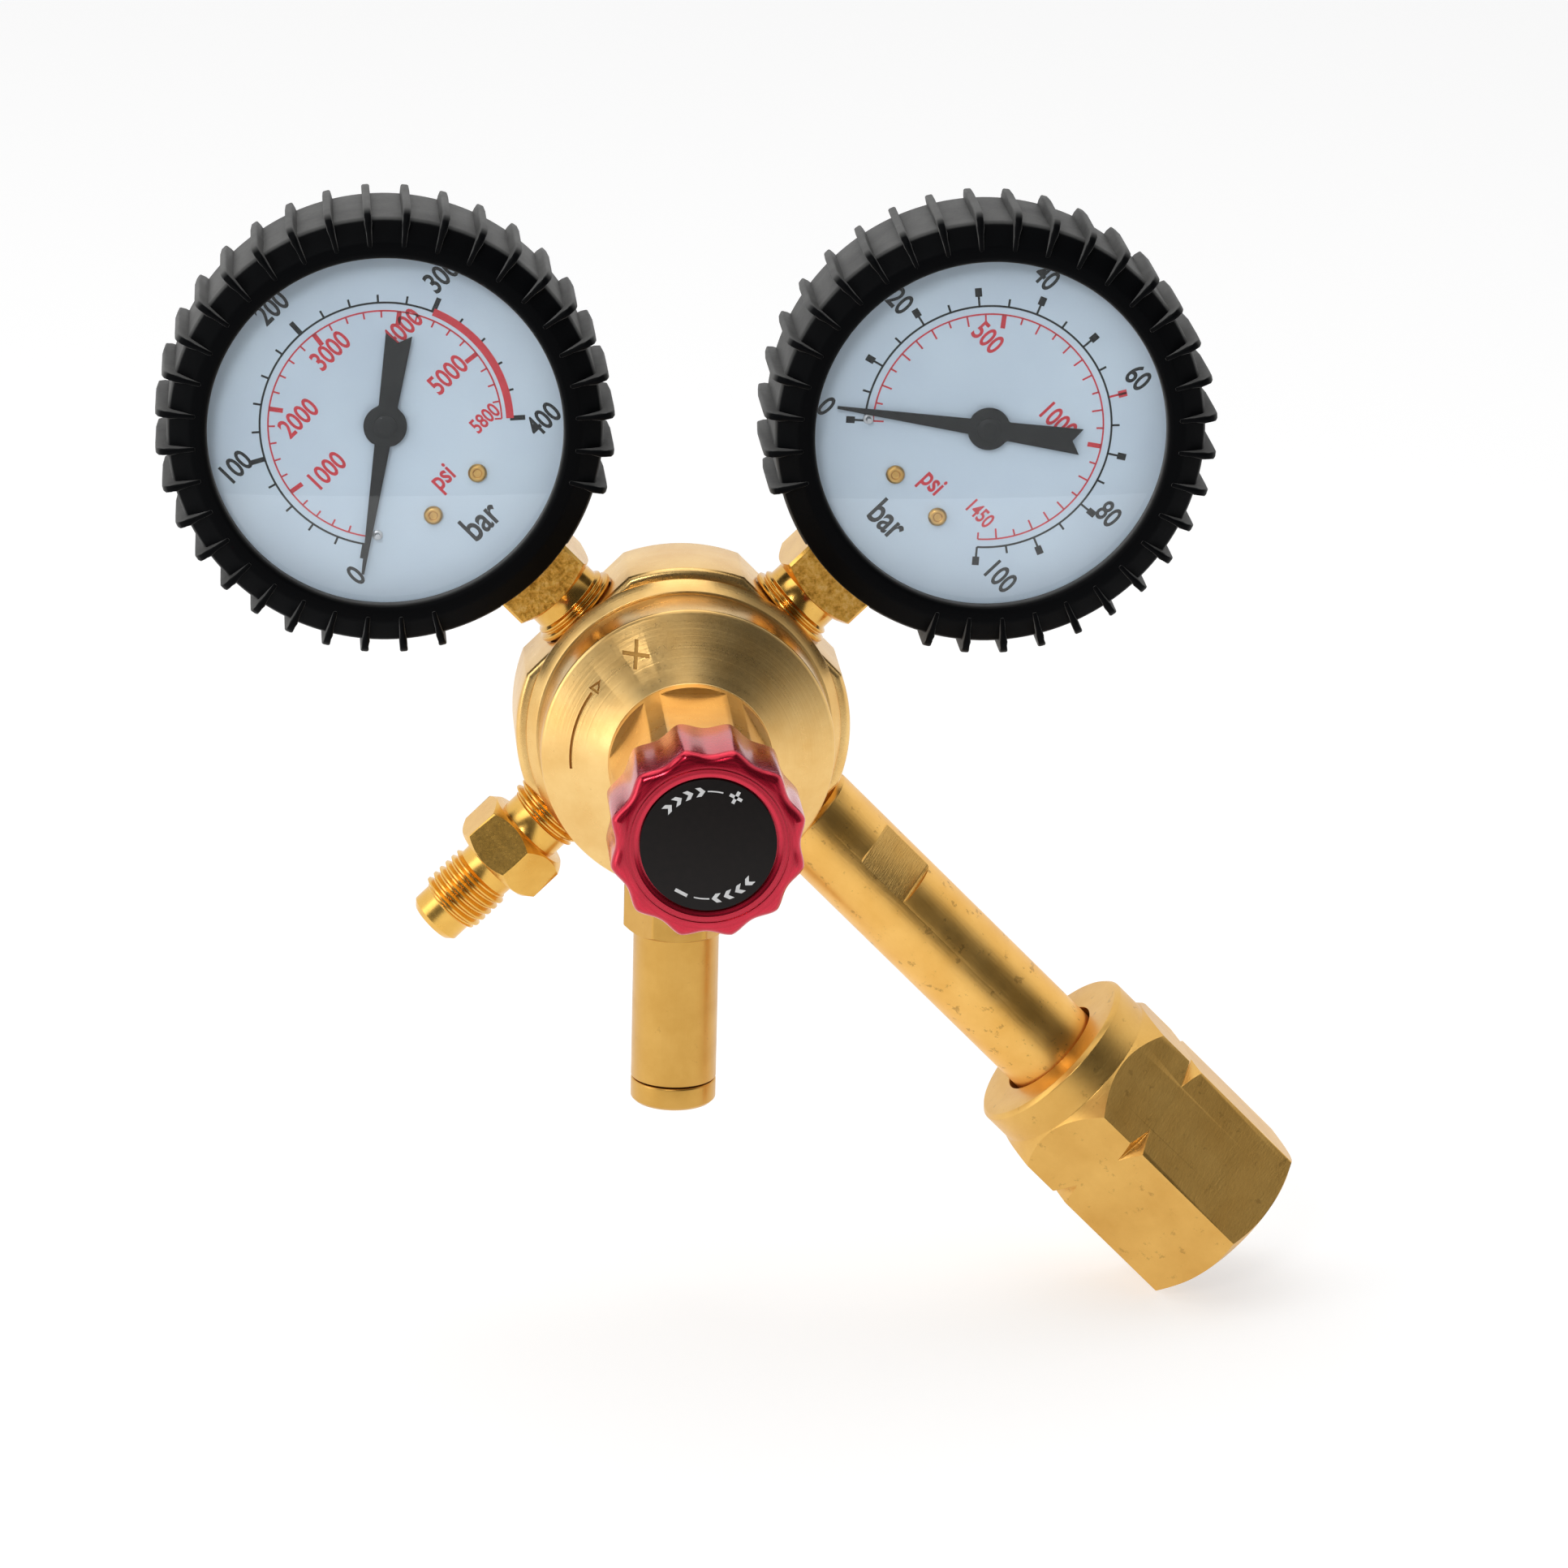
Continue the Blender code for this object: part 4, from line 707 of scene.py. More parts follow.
def makeBonnet():
    b = bonnet
    rim, top = b["rim"], b["neckFront"]
    outside = [
        (b["thread"], b["back"]), (b["radius"], b["back"]), (b["radius"], b["front"] - rim),
        (b["radius"] - rim, b["front"]), (b["neck"], b["coneTop"]), (b["neck"], top - 0.8),
        (b["neck"] - 0.8, top),
    ]
    inside = [
        (b["screwBore"], top), (b["screwBore"], b["screwFrom"]), (b["springBore"], b["screwFrom"]),
        (b["springBore"], 31.5), (17.6, 26.8), (17.6, b["clampFrom"]), (b["thread"], b["clampFrom"]),
    ]
    bm = turned(outside + inside, 192, 0.18, ring=True)
    bm = carve(bm, sleeve(6, b["flats"], b["flatsFrom"], top + 1, 16), *engravingTool())
    paint(bm, 1, engraved)
    place("bonnet", bm, knobFrame, [satinBrass, grooveBrass], "root", ["bonnet"])


# red knob and its label
knob = {
    "radius": 15.3, "back": 61.0, "front": 76.5, "frontRound": 1.5, "backRound": 0.7, "scallops": 12,
    "depth": 1.1, "first": 15, "hollow": 13.5, "hollowTo": 72.4, "screwHole": 5.0, "label": 10.5,
    "labelSeat": 75.6, "groove": (12.1, 12.5), "marks": 8.6, "markGap": 12.5,
}


def makeKnob():
    k = knob
    front, back = k["front"], k["back"]
    bm = bmesh.new()
    bmesh.ops.create_circle(bm, cap_ends=True, segments=k["scallops"] * 24, radius=k["radius"])
    for v in bm.verts:
        angle = math.atan2(v.co.y, v.co.x) - math.radians(k["first"])
        wave = (1 - math.cos(k["scallops"] * angle)) / 2
        hollow = wave ** 0.75  # rounded crests with broader hollows between them
        v.co *= 1 - k["depth"] * hollow / k["radius"]
    grow(bm, bm.faces[:], (0, 0, front - back))
    bmesh.ops.translate(bm, verts=bm.verts, vec=(0, 0, back))
    bmesh.ops.recalc_face_normals(bm, faces=bm.faces)
    soften(bm, rimAt(bm, front), k["frontRound"], 6)
    soften(bm, rimAt(bm, back), k["backRound"], 6)
    rim, seat, out = k["label"] + 0.3, k["labelSeat"], front + 1
    hollow = turned(
        [
            (0, back - 1), (k["hollow"], back - 1), (k["hollow"], k["hollowTo"]),
            (k["screwHole"], k["hollowTo"]), (k["screwHole"], seat), (rim, seat), (rim, front - 0.25),
            (11.5, front - 0.05), (11.5, out), (0, out),
        ],
        144,
        0,
    )
    inner, outer = k["groove"]
    groove = turned(
        [(inner, front - 0.25), (outer, front - 0.25), (outer, out), (inner, out)], 144, 0, ring=True
    )
    place(
        "adjustingKnob", carve(bm, hollow, groove), knobFrame, [redMetal], "knob", ["knob"]
    )


def makeLabel():
    k = knob
    top = k["front"]
    disc = turned(
        [(0, top - 0.6), (k["label"], top - 0.6), (k["label"], top - 0.12), (0, top - 0.12)], 144, 0.08
    )
    place("knobLabel", disc, knobFrame, [labelBlack], "knob", ["knob_label"])
    marks = bmesh.new()
    low, high = top - 0.14, top - 0.08

    def stamp(shape, turn, twist):
        out = Matrix.Rotation(math.radians(turn), 4, "Z") @ Matrix.Translation((k["marks"], 0, 0))
        shape.transform(out @ Matrix.Rotation(math.radians(twist), 4, "Z"))
        join(marks, shape)

    chevron = [(-0.75, 0.72), (0.05, 0.72), (0.75, 0), (0.05, -0.72), (-0.75, -0.72), (-0.05, 0)]
    for centre in (118, -62):
        for i in range(4):
            stamp(prism(chevron, low, high), centre + k["markGap"] * (i - 1.5), -90)
    for turn, arms in ((62, 2), (-118, 1)):
        for i in range(arms):
            stamp(box((-1.05, -0.26, low), (1.05, 0.26, high)), turn, 90 + 90 * i)
    inner, outer = k["marks"] - 0.1, k["marks"] + 0.1
    for first, last in ((76, 92), (-104, -88)):
        section = ((inner, low), (outer, low), (outer, high), (inner, high))
        join(marks, arcBar(section, first, last, 8))
    place("knobMarks", marks, knobFrame, [printWhite], "knob")


# inlet stem and its union nut
stem = {
    "radius": 8.25, "start": 29.6, "spigot": 6.5, "gasPort": 4.5, "flats": 14.0, "flatsFrom": 39.7,
    "flatsTo": 50.2, "flatsTurn": 138, "flatsRound": 0.6, "shoulder": 94.3, "collar": 9.8,
    "collarLength": 4, "nipple": 8.0, "nippleLength": 9.4, "nose": 4.1, "noseLength": 11, "bore": 2.5,
}
nut = {
    "back": 88.0, "front": 130.3, "flats": 31.2, "turn": -3.2, "hole": 9.0, "collar": 15.4, "hexFrom": 94.0,
    "cone": 3.2, "notch": 105.0, "notchWidth": 3.0, "notchDepth": 1.8, "bore": 10.35, "chamfer": 1.6,
}


def makeStem():
    s = stem
    start, shoulder, flat = s["start"], s["shoulder"], s["flats"] / 2
    collar, nipple, nose = (shoulder + s[key] for key in ("collarLength", "nippleLength", "noseLength"))
    profile = [
        (s["gasPort"], 19.8), (s["spigot"], 19.8), (s["spigot"], start - 0.6), (7.6, start - 0.6),
        (s["radius"], start + 0.2), (s["radius"], shoulder), (s["collar"], shoulder), (s["collar"], collar),
        (s["nipple"], collar), (s["nipple"], nipple), (s["nose"], nipple), (s["nose"], nose),
        (s["bore"], nose), (s["bore"], 27.1), (s["gasPort"], 27.1),
    ]
    bm = turned(profile, 144, 0.15, ring=True)
    cuts = []
    for side in (0, 180):
        cut = box((flat, -12, s["flatsFrom"]), (12, 12, s["flatsTo"]))
        inner = [e for e in cut.edges if all(abs(v.co.x - flat) < near for v in e.verts)]
        ends = [e for e in inner if abs(e.verts[0].co.z - e.verts[1].co.z) < near]
        soften(cut, ends, s["flatsRound"], 4, clamp=False)
        cut.transform(Matrix.Rotation(math.radians(s["flatsTurn"] + side), 4, "Z"))
        cuts.append(cut)
    bm = carve(bm, *cuts)
    out = across(s["flatsTurn"])

    def milled(spot, normal):
        beside = s["flatsFrom"] - 0.1 < spot.z < s["flatsTo"] + 0.1
        return beside and abs(spot.dot(out)) < flat + 0.7 and abs(normal.dot(out)) > 0.9

    paint(bm, 1, milled)
    place("inletStem", bm, inletFrame, [barBrass, millBrass], "root", ["inlet_stem"])


def hexCorner(flats):
    return flats / 2 / math.cos(math.pi / 6)


def makeNut():
    n = nut
    corner = hexCorner(n["flats"])
    back, hexFrom, front, bore = n["back"], n["hexFrom"], n["front"], n["bore"]
    notch, half = n["notch"], n["notchWidth"] / 2
    profile = [
        (n["hole"], back), (n["collar"] - 0.7, back), (n["collar"], back + 0.7), (n["collar"], hexFrom),
        (corner, hexFrom + n["cone"]), (corner, notch - half), (corner - n["notchDepth"], notch),
        (corner, notch + half), (corner, front - n["chamfer"]), (n["flats"] / 2, front),
        (bore + 0.85, front), (bore, front - 0.9), (bore, hexFrom), (n["hole"], hexFrom),
    ]
    bm = turned(profile, 192, 0.12, ring=True)
    bm = carve(bm, sleeve(6, n["flats"], hexFrom - 0.5, front + 1, corner + 3, math.radians(n["turn"])))
    place("inletNut", bm, inletFrame, [nutBrass], "swivel_nut", ["inlet_nut"])


# outlet fitting, with both of its threads
outlet = {
    "shank": 31.6, "shankThread": 6.5, "shankDepth": 0.8, "hexFrom": 34.4, "hexTo": 42.4, "flats": 15.0,
    "face": 7.3, "chamfer": 1.3, "turn": -3, "neck": 5.6, "thread": 5.55, "threadDepth": 0.72,
    "threadFrom": 44.9, "threadTo": 52.6, "pitch": 1.337, "end": 56.6, "nose": 4.6, "bore": 2.4,
}


def makeOutlet():
    o = outlet
    corner = hexCorner(o["flats"])
    low, high, end = o["hexFrom"], o["hexTo"], o["end"]
    root = o["thread"] - o["threadDepth"]
    profile = [
        (o["bore"], 19.8), (5.7, 19.8), (5.7, o["shank"]), (o["neck"], o["shank"]), (o["neck"], low),
        (o["face"], low), (corner, low + o["chamfer"]), (corner, high - o["chamfer"]), (o["face"], high),
        (root + 0.1, high), (root, o["threadFrom"]), (root, o["threadTo"]),
        (o["nose"], o["threadTo"] + 0.2), (o["nose"], end - 0.9), (o["nose"] - 0.9, end),
        (o["bore"] + 0.5, end), (o["bore"], end - 0.5),
    ]
    bm = turned(profile, 120, 0.1, ring=True)
    bm = carve(bm, sleeve(6, o["flats"], low - 0.2, high + 0.2, corner + 3, math.radians(o["turn"])))
    join(
        bm,
        threadRidge(o["thread"], o["threadDepth"], o["pitch"], o["threadFrom"], o["threadTo"]),
        threadRidge(o["shankThread"], o["shankDepth"], o["pitch"], 21.0, o["shank"]),
    )
    place("outletFitting", bm, outletFrame, [outletBrass], "root", ["outlet_fitting"])


# relief valve
relief = {
    "hexFrom": 26.0, "hexTo": 36.4, "flats": 15.0, "turn": 30, "shank": 4.85, "tube": 7.0, "tubeTo": 61.6,
    "bore": 5.2, "boreFrom": 38.5, "gasPort": 1.5, "end": 65.8, "capBore": 1.6, "capShank": 4.9,
    "capFrom": 57.6,
}


def makeRelief():
    r = relief
    corner = hexCorner(r["flats"])
    low, high, tube, tubeTo = r["hexFrom"], r["hexTo"], r["tube"], r["tubeTo"]
    profile = [
        (r["gasPort"], 17.3), (r["shank"], 17.3), (r["shank"], low), (corner - 1.4, low),
        (corner, low + 0.7), (corner, high - 0.7), (corner - 1.3, high), (tube, high), (tube, tubeTo),
        (r["bore"], tubeTo), (r["bore"], r["boreFrom"]), (r["gasPort"], r["boreFrom"]),
    ]
    bm = turned(profile, 120, 0.12, ring=True)
    bm = carve(bm, sleeve(6, r["flats"], low - 0.2, high + 0.1, corner + 3, math.radians(r["turn"])))
    place("reliefBody", bm, reliefFrame, [reliefBrass], "root", ["relief_body"])
    lip, end = tubeTo + 0.3, r["end"]
    profile = [
        (r["capBore"], r["capFrom"]), (r["capShank"], r["capFrom"]), (r["capShank"], lip),
        (tube - 0.15, lip), (tube, lip + 0.2), (tube, end - 0.6), (tube - 0.6, end), (r["capBore"], end),
    ]
    cap = turned(profile, 120, 0.12, ring=True)
    place("reliefCap", cap, reliefFrame, [reliefBrass], "root", ["relief_cap"])


# gauges
boot = {
    "radius": 34.6, "rib": 36.5, "front": 9.0, "back": -12.8, "window": 28.2, "bore": 32.3,
    "backBore": 26.0, "ledge": 6.7, "floor": -10.8, "stemGap": 7.45, "ribWidth": 1.3, "ribTaper": 0.62,
    "ribs": 36, "leftOut": 2,
}
dial = {
    "radius": 29.4, "hole": 1.05, "face": 2.4, "thick": 0.5, "rivets": (4.9, -15.8), "arcBlack": 19.7,
    "arcRed": 18.4, "numbers": 4.9, "redNumbers": 4.554, "redLast": 3.45, "redMark": 60, "warnFrom": 300,
    "warnBand": (19.1, 20.3), "psi": (0.4, -12.4, 4.6), "bar": (-0.3, -21.9, 6.2),
}
pointer = {
    "rest": 233, "tip": 24.5, "tail": 15.0, "tailWidth": 4.2, "hub": 3.45, "height": 3.3, "thick": 0.4
}
scales = {
    "contents": {
        "zero": 234.0, "sweep": 257.6, "full": 400, "major": 100, "minor": 20, "majorReach": 2.4,
        "majorWidth": 0.8, "psiStep": 200, "psiMajor": 1000, "psiFull": 5800,
    },
    "working": {
        "zero": 228.0, "sweep": 270.4, "full": 100, "major": 10, "minor": 5, "majorReach": 2.9,
        "majorWidth": 0.34, "psiStep": 50, "psiMajor": 500, "psiFull": 1450,
    },
}
# black numbers: text, clock angle, reach; red numbers: text, x, y
labels = {
    "contents": {
        "black": [
            ("0", 235, 25.1), ("100", 298, 24.5), ("200", 1.5, 25.8), ("300", 65, 25.5), ("400", 133, 25.1)
        ],
        "red": [
            ("1000", -11.9, 1.0), ("2000", -8.9, 10.2), ("3000", 2.3, 14.4), ("4000", 12.9, 9.0),
            ("5000", 12.7, -1.3), ("5800", 11.9, -10.4),
        ],
    },
    "working": {
        "black": [
            ("0", 232, 26.2), ("20", 279, 25.1), ("40", 334, 25.7), ("60", 26, 24.9), ("80", 81, 24.3),
            ("100", 129, 24.7),
        ],
        "red": [("500", -10.7, 9.8), ("1000", 7.0, 8.5), ("1450", 9.3, -10.7)],
    },
}
stopPins = {"contents": (228.5, 18.0), "working": (229.0, 19.2)}


def ribShape():
    # one rib, standing in the XZ plane: up the side, round the front corner, in across the slope
    b = boot
    outline = [
        (33.4, -11.0), (35.2, -11.3), (36.2, -10.4), (b["rib"], -6), (b["rib"], 4), (36.45, 7.2),
        (36.1, 8.4), (35.2, 9.2), (34.2, 9.4), (32.6, 9.35), (31.0, 9.25), (30.2, 9.1), (30.0, 8.4),
        (33.4, 5.0),
    ]
    bm = bmesh.new()
    face = bm.faces.new([bm.verts.new((r, -b["ribWidth"] / 2, z)) for r, z in outline])
    grow(bm, [face], (0, b["ribWidth"], 0))
    for v in bm.verts:
        if v.co.x < 34.4 and v.co.z > 7:
            v.co.y *= b["ribTaper"]
    bmesh.ops.recalc_face_normals(bm, faces=bm.faces)
    soften(bm, [e for e in bm.edges if abs(e.verts[0].co.y - e.verts[1].co.y) < 0.5], 0.32, 3)
    return bm


def makeBoot(name, where):
    b = boot
    radius, back, gap = b["radius"], b["back"], b["stemGap"]
    profile = [
        (b["window"], b["ledge"]), (b["window"], 8.3), (b["window"] + 0.7, b["front"]), (31.0, b["front"]),
        (34.2, 7.3), (radius, 6.4), (radius, back + 1.8), (radius - 1.4, back), (b["backBore"], back),
        (b["backBore"], b["floor"]), (b["bore"], b["floor"]), (b["bore"], b["ledge"]),
    ]
    bm = turned(profile, 180, 0.3, ring=True)
    bm = carve(bm, box((-gap, -40, -gap), (gap, -27, 7.05)))
    for i in range(b["leftOut"] + 1, b["ribs"] - b["leftOut"]):
        rib = ribShape()
        rib.transform(Matrix.Rotation(math.radians(-90 + 360 / b["ribs"] * i), 4, "Z"))
        join(bm, rib)
    place(name + "Boot", bm, where, [bootRubber()], "root", [name + "_boot"])


def clockPoint(turn, reach):
    return reach * math.sin(math.radians(turn)), reach * math.cos(math.radians(turn))


def arcStrip(inner, outer, first, last, low, high):
    section = ((inner, low), (outer, low), (outer, high), (inner, high))
    return arcBar(section, 90 - first, 90 - last, max(4, round(abs(last - first) / 2.5)))


def tick(turn, inner, outer, width, low, high):
    bm = box((-width / 2, inner, low), (width / 2, outer, high))
    bm.transform(Matrix.Rotation(math.radians(-turn), 4, "Z"))
    return bm


def lettering(text, x, y, size, low, high):
    letters = bpy.data.curves.new("letters", "FONT")
    letters.body = text
    letters.size = size
    letters.align_x = "CENTER"
    letters.align_y = "CENTER"
    letters.resolution_u = 4
    letters.extrude = (high - low) / 2
    letters.offset = 0.02 * size  # a bolder stroke
    temporary = bpy.data.objects.new("letters", letters)
    bpy.context.scene.collection.objects.link(temporary)
    bpy.context.view_layer.update()
    shaped = temporary.evaluated_get(bpy.context.evaluated_depsgraph_get())
    bm = bmesh.new()
    bm.from_mesh(shaped.to_mesh())
    shaped.to_mesh_clear()
    bpy.data.objects.remove(temporary)
    bpy.data.curves.remove(letters)
    bm.transform(Matrix.Translation((x, y, (low + high) / 2)) @ Matrix.Diagonal((0.74, 1, 1, 1)))
    return bm


def makePrint(name, where):
    s = scales[name]
    low, high = dial["face"] - 0.02, dial["face"] + 0.03
    black, red = bmesh.new(), bmesh.new()
    outer, inner = dial["arcBlack"], dial["arcRed"]
    perUnit, perPsi = s["sweep"] / s["full"], s["sweep"] / s["psiFull"]
    last = s["zero"] + s["sweep"]
    join(black, arcStrip(outer - 0.15, outer + 0.17, s["zero"], last, low, high))
    join(red, arcStrip(inner - 0.13, inner + 0.13, s["zero"], last, low, high))
    for value in range(0, s["full"] + 1, s["minor"]):
        turn = s["zero"] + value * perUnit
        major = value % s["major"] == 0
        ink = red if name == "working" and value == dial["redMark"] else black
        reach, width = (s["majorReach"], s["majorWidth"]) if major else (1.3, 0.34)
        join(ink, tick(turn, outer, outer + reach, width, low, high))
        if major and name == "working":
            join(ink, tick(turn, outer + 1.6, outer + 3.0, 1.1, low, high))
    for value in [*range(0, s["psiFull"], s["psiStep"]), s["psiFull"]]:
        turn = s["zero"] + value * perPsi
        major = value % s["psiMajor"] == 0 and value > 0
        middle = value % (s["psiMajor"] // 2) == 0 or name == "working" and value % 100 == 0
        reach = 2.2 if major else 1.7 if middle else 1.1
        join(red, tick(turn, inner - reach, inner, 0.75 if major else 0.28, low, high))
    if name == "contents":
        first = s["zero"] + dial["warnFrom"] * perUnit
        join(red, arcStrip(*dial["warnBand"], first, last, low, high + 0.01))
    for text, turn, reach in labels[name]["black"]:
        x, y = clockPoint(turn, reach)
        join(black, lettering(text, x, y, dial["numbers"], low, high))
    for text, x, y in labels[name]["red"]:
        size = dial["redLast"] if text == str(s["psiFull"]) else dial["redNumbers"]
        join(red, lettering(text, x, y, size, low, high))
    join(red, lettering("psi", *dial["psi"], low, high))
    join(black, lettering("bar", *dial["bar"], low, high))
    place(name + "ScaleBlack", black, where, [printBlack], "root")
    place(name + "ScaleRed", red, where, [printRed], "root")


def arcPoints(radius, first, last, step=10):
    turns = [math.radians(turn) for turn in range(first, last + 1, step)]
    return [(radius * math.cos(turn), radius * math.sin(turn)) for turn in turns]


def makePointer(name, where):
    p = pointer
    hub, half, tail = p["hub"], p["tailWidth"] / 2, p["tail"]
    top = p["height"] + p["thick"]
    tip = [(1.25, 0.9 * hub), (0.22, p["tip"]), (-0.22, p["tip"]), (-1.25, 0.9 * hub)]
    fork = [
        (-0.72 * half, -0.95 * hub), (-half, -tail), (0, 1.4 - tail), (half, -tail),
        (0.72 * half, -0.95 * hub),
    ]
    outline = tip + arcPoints(hub, 120, 240) + fork + arcPoints(hub, -60, 60)
    bm = prism(outline, p["height"], top)
    soften(bm, rimAt(bm, top), 0.07, 2)
    cap = [(0, top - 0.1), (1.9, top - 0.1), (1.9, top + 0.35), (1.2, top + 0.58), (0, top + 0.56)]
    join(bm, turned(cap, 48, 0.06))
    bm.transform(Matrix.Rotation(math.radians(-p["rest"]), 4, "Z"))
    place(
        name + "Pointer", bm, where, [pointerBlack], name + "_needle", [name + "_pointer"]
    )


def makeDial(name, where):
    face, radius, hole = dial["face"], dial["radius"], dial["hole"]
    back = face - dial["thick"]
    disc = turned([(hole, back), (radius, back), (radius, face), (hole, face)], 144, 0.06, ring=True)
    place(name + "Dial", disc, where, [dialPaint], "root", [name + "_dial"])
    top = pointer["height"] + pointer["thick"] + 0.3
    pin = turned(
        [
            (0, face - 0.4), (0.45, face - 0.4), (0.45, face), (0.85, face), (0.8, face + 0.25),
            (0.42, face + 0.3), (0.42, top), (0, top),
        ],
        32,
        0.05,
    )
    pin.transform(Matrix.Translation((*clockPoint(*stopPins[name]), 0)))
    place(name + "StopPin", pin, where, [plainSteel], "root")
    seat = face + 0.3
    x, y = dial["rivets"]
    for side, label in ((-1, "left"), (1, "right")):
        profile = [
            (0, -0.4), (0.6, -0.4), (0.6, seat), (1.5, seat), (1.5, seat + 0.25), (1.15, seat + 0.6),
            (0.75, seat + 0.62), (0.6, seat + 0.35), (0, seat + 0.4),
        ]
        rivet = turned(profile, 40, 0.08)
        rivet.transform(Matrix.Translation((side * x, y, 0)))
        place(
            name + "Rivet" + label.title(),
            rivet,
            where,
            [movementBrass],
            "root",
            [name + "_dial_rivet_" + label],
        )


def makeWindow(name, where):
    glass = turned([(0, 4.4), (30.6, 4.4), (30.6, 5.6), (29.8, 6.4), (0, 6.4)], 180, 0.05)
    place(name + "Window", glass, where, [windowClear], "root", [name + "_lens"])


socket = {
    "screwRadius": 6.5, "ring": 7.4, "neck": 6.1, "squareFrom": 28.7, "square": 14.0, "corner": 9.59,
    "far": 35.9, "tongue": (0.9, 5.1), "tongueTo": 46.9,
}
socketLook = {**brassLook, "deep": "#CC9440", "light": "#EFC268", "rough": 0.2, "bump": 0.2}


def makeSocket(name, where):
    s = socket
    flat = flatAt(layout["upperRaise"], True)
    ring = flat + 0.3
    screw, neck, far, corner, square = s["screwRadius"], s["neck"], s["far"], s["corner"], s["squareFrom"]
    profile = [
        (0, flat - 8.2), (screw, flat - 8.2), (screw, ring), (s["ring"] - 0.1, ring),
        (s["ring"], ring + 0.3), (s["ring"], ring + 0.8), (screw, ring + 1.1), (screw, ring + 1.3),
        (6.75, ring + 1.5), (6.75, ring + 1.8), (neck, ring + 2.2), (neck, square), (6.8, square),
        (corner, square + 1.5), (corner, far), (0, far),
    ]
    bm = turned(profile, 120, 0.1)
    bm = carve(bm, sleeve(4, s["square"], square - 0.2, far + 0.5, corner + 3, math.radians(45)))
    left, right = s["tongue"]
    bm = carve(bm, box((left, -6, far - 1), (right, 6, s["tongueTo"])), operation="UNION")
    paint(bm, 1, lambda spot, normal: spot.z > square + 0.3 and normal.x < -0.9)
    finish = brass(name + " socket brass", where, socketLook)
    place(name + "Socket", bm, where, [finish, sawnBrass], "root", [name + "_socket"])


# wire radius, coil radius and the two ends along each spring's own axis, from its fixed seat
springs = {
    "adjusting": {
        "at": (0, -26.7, 0), "turn": "Y", "length": 25.1, "wire": 1.3, "coil": 8.7, "turns": 6,
        "joint": "button_slide", "travel": 5.0,
    },
    "poppet": {
        "at": (0, -3.7, 0), "turn": "Y", "length": 3.7, "wire": 0.35, "coil": 2.55, "turns": 3,
        "joint": "valve_lift", "travel": 0.6,
    },
    "relief": {
        "at": (0, -8, -57.3), "turn": "Z", "length": 15.7, "wire": 0.55, "coil": 3.7, "turns": 6,
        "joint": "relief_lift", "travel": 1.2,
    },
}


def coil(s):
    steps = s["turns"] * 36
    bm = bmesh.new()
    made = bmesh.ops.create_circle(bm, cap_ends=True, segments=12, radius=s["wire"])
    upright = Matrix.Rotation(math.radians(90), 4, "X")
    start = Matrix.Translation((s["coil"], 0, s["wire"] + 0.1)) @ upright
    bmesh.ops.transform(bm, matrix=start, verts=made["verts"])
    rise = (0, 0, (s["length"] - 2 * s["wire"] - 0.3) / steps)
    geom = bm.verts[:] + bm.edges[:] + bm.faces[:]
    spin(bm, geom, 2 * math.pi * s["turns"], steps, dvec=rise)
    return bm


def makeSprings():
    for name, s in springs.items():
        outward = knobFrame if s["turn"] == "Y" else Matrix.Identity(4)
        where = Matrix.Translation(s["at"]) @ outward
        piece = place(name + "Coil", coil(s), where, [plainSteel], "root", [name + "_spring"])
        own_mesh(piece)
    sheet = turned([(0, 23.8), (20.4, 23.8), (20.4, 24.6), (0, 24.6)], 144, 0.1)
    piece = place(
        "diaphragmSheet", sheet, knobFrame, [sheetRubber], "root", ["diaphragm"]
    )
    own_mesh(piece)


def paintNodes():
    finishes = {
        plainSteel: [
            "slip_ring",
            "diaphragm_plate",
            "poppet",
            "spring_button",
            "adjusting_screw",
            "contents_link",
            "working_link",
        ],
        sinteredBronze: ["inlet_filter", "relief_poppet"],
        sheetRubber: ["contents_vent_plug", "working_vent_plug"],
        nylon: ["inlet_gasket"],
        caseEnamel: ["contents_case", "working_case"],
        movementBrass: ["valve_seat"] + [
            side + part
            for side in ("contents_", "working_")
            for part in ("pinion", "sector", "bourdon_tube", "movement")
        ],
    }
    for material, names in finishes.items():
        for name in names:
            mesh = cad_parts[name].data
            mesh.materials.clear()
            mesh.materials.append(material)


makeBody()
makeBonnet()
makeKnob()
makeLabel()
print("body, bonnet and knob ready")
makeStem()
makeNut()
makeOutlet()
makeRelief()
print("fittings ready")
for name, parts in gauges.items():
    makeBoot(name, parts["frame"])
    makeWindow(name, parts["frame"])
    makeDial(name, parts["frame"])
    makePrint(name, parts["frame"])
    makePointer(name, parts["frame"])
    makeSocket(name, parts["stem"])
makeSprings()
paintNodes()
print("gauges ready")


# floor, backdrop, lamps and camera
studio = {
    "floorSize": 6.0, "tableEdge": -0.43, "gap": 0.0002, "shadowShare": 0.6, "glow": 1.42,
    "opening": (0.05, -0.85, 0.5), "tent": 1.0, "dim": 0.06,
}


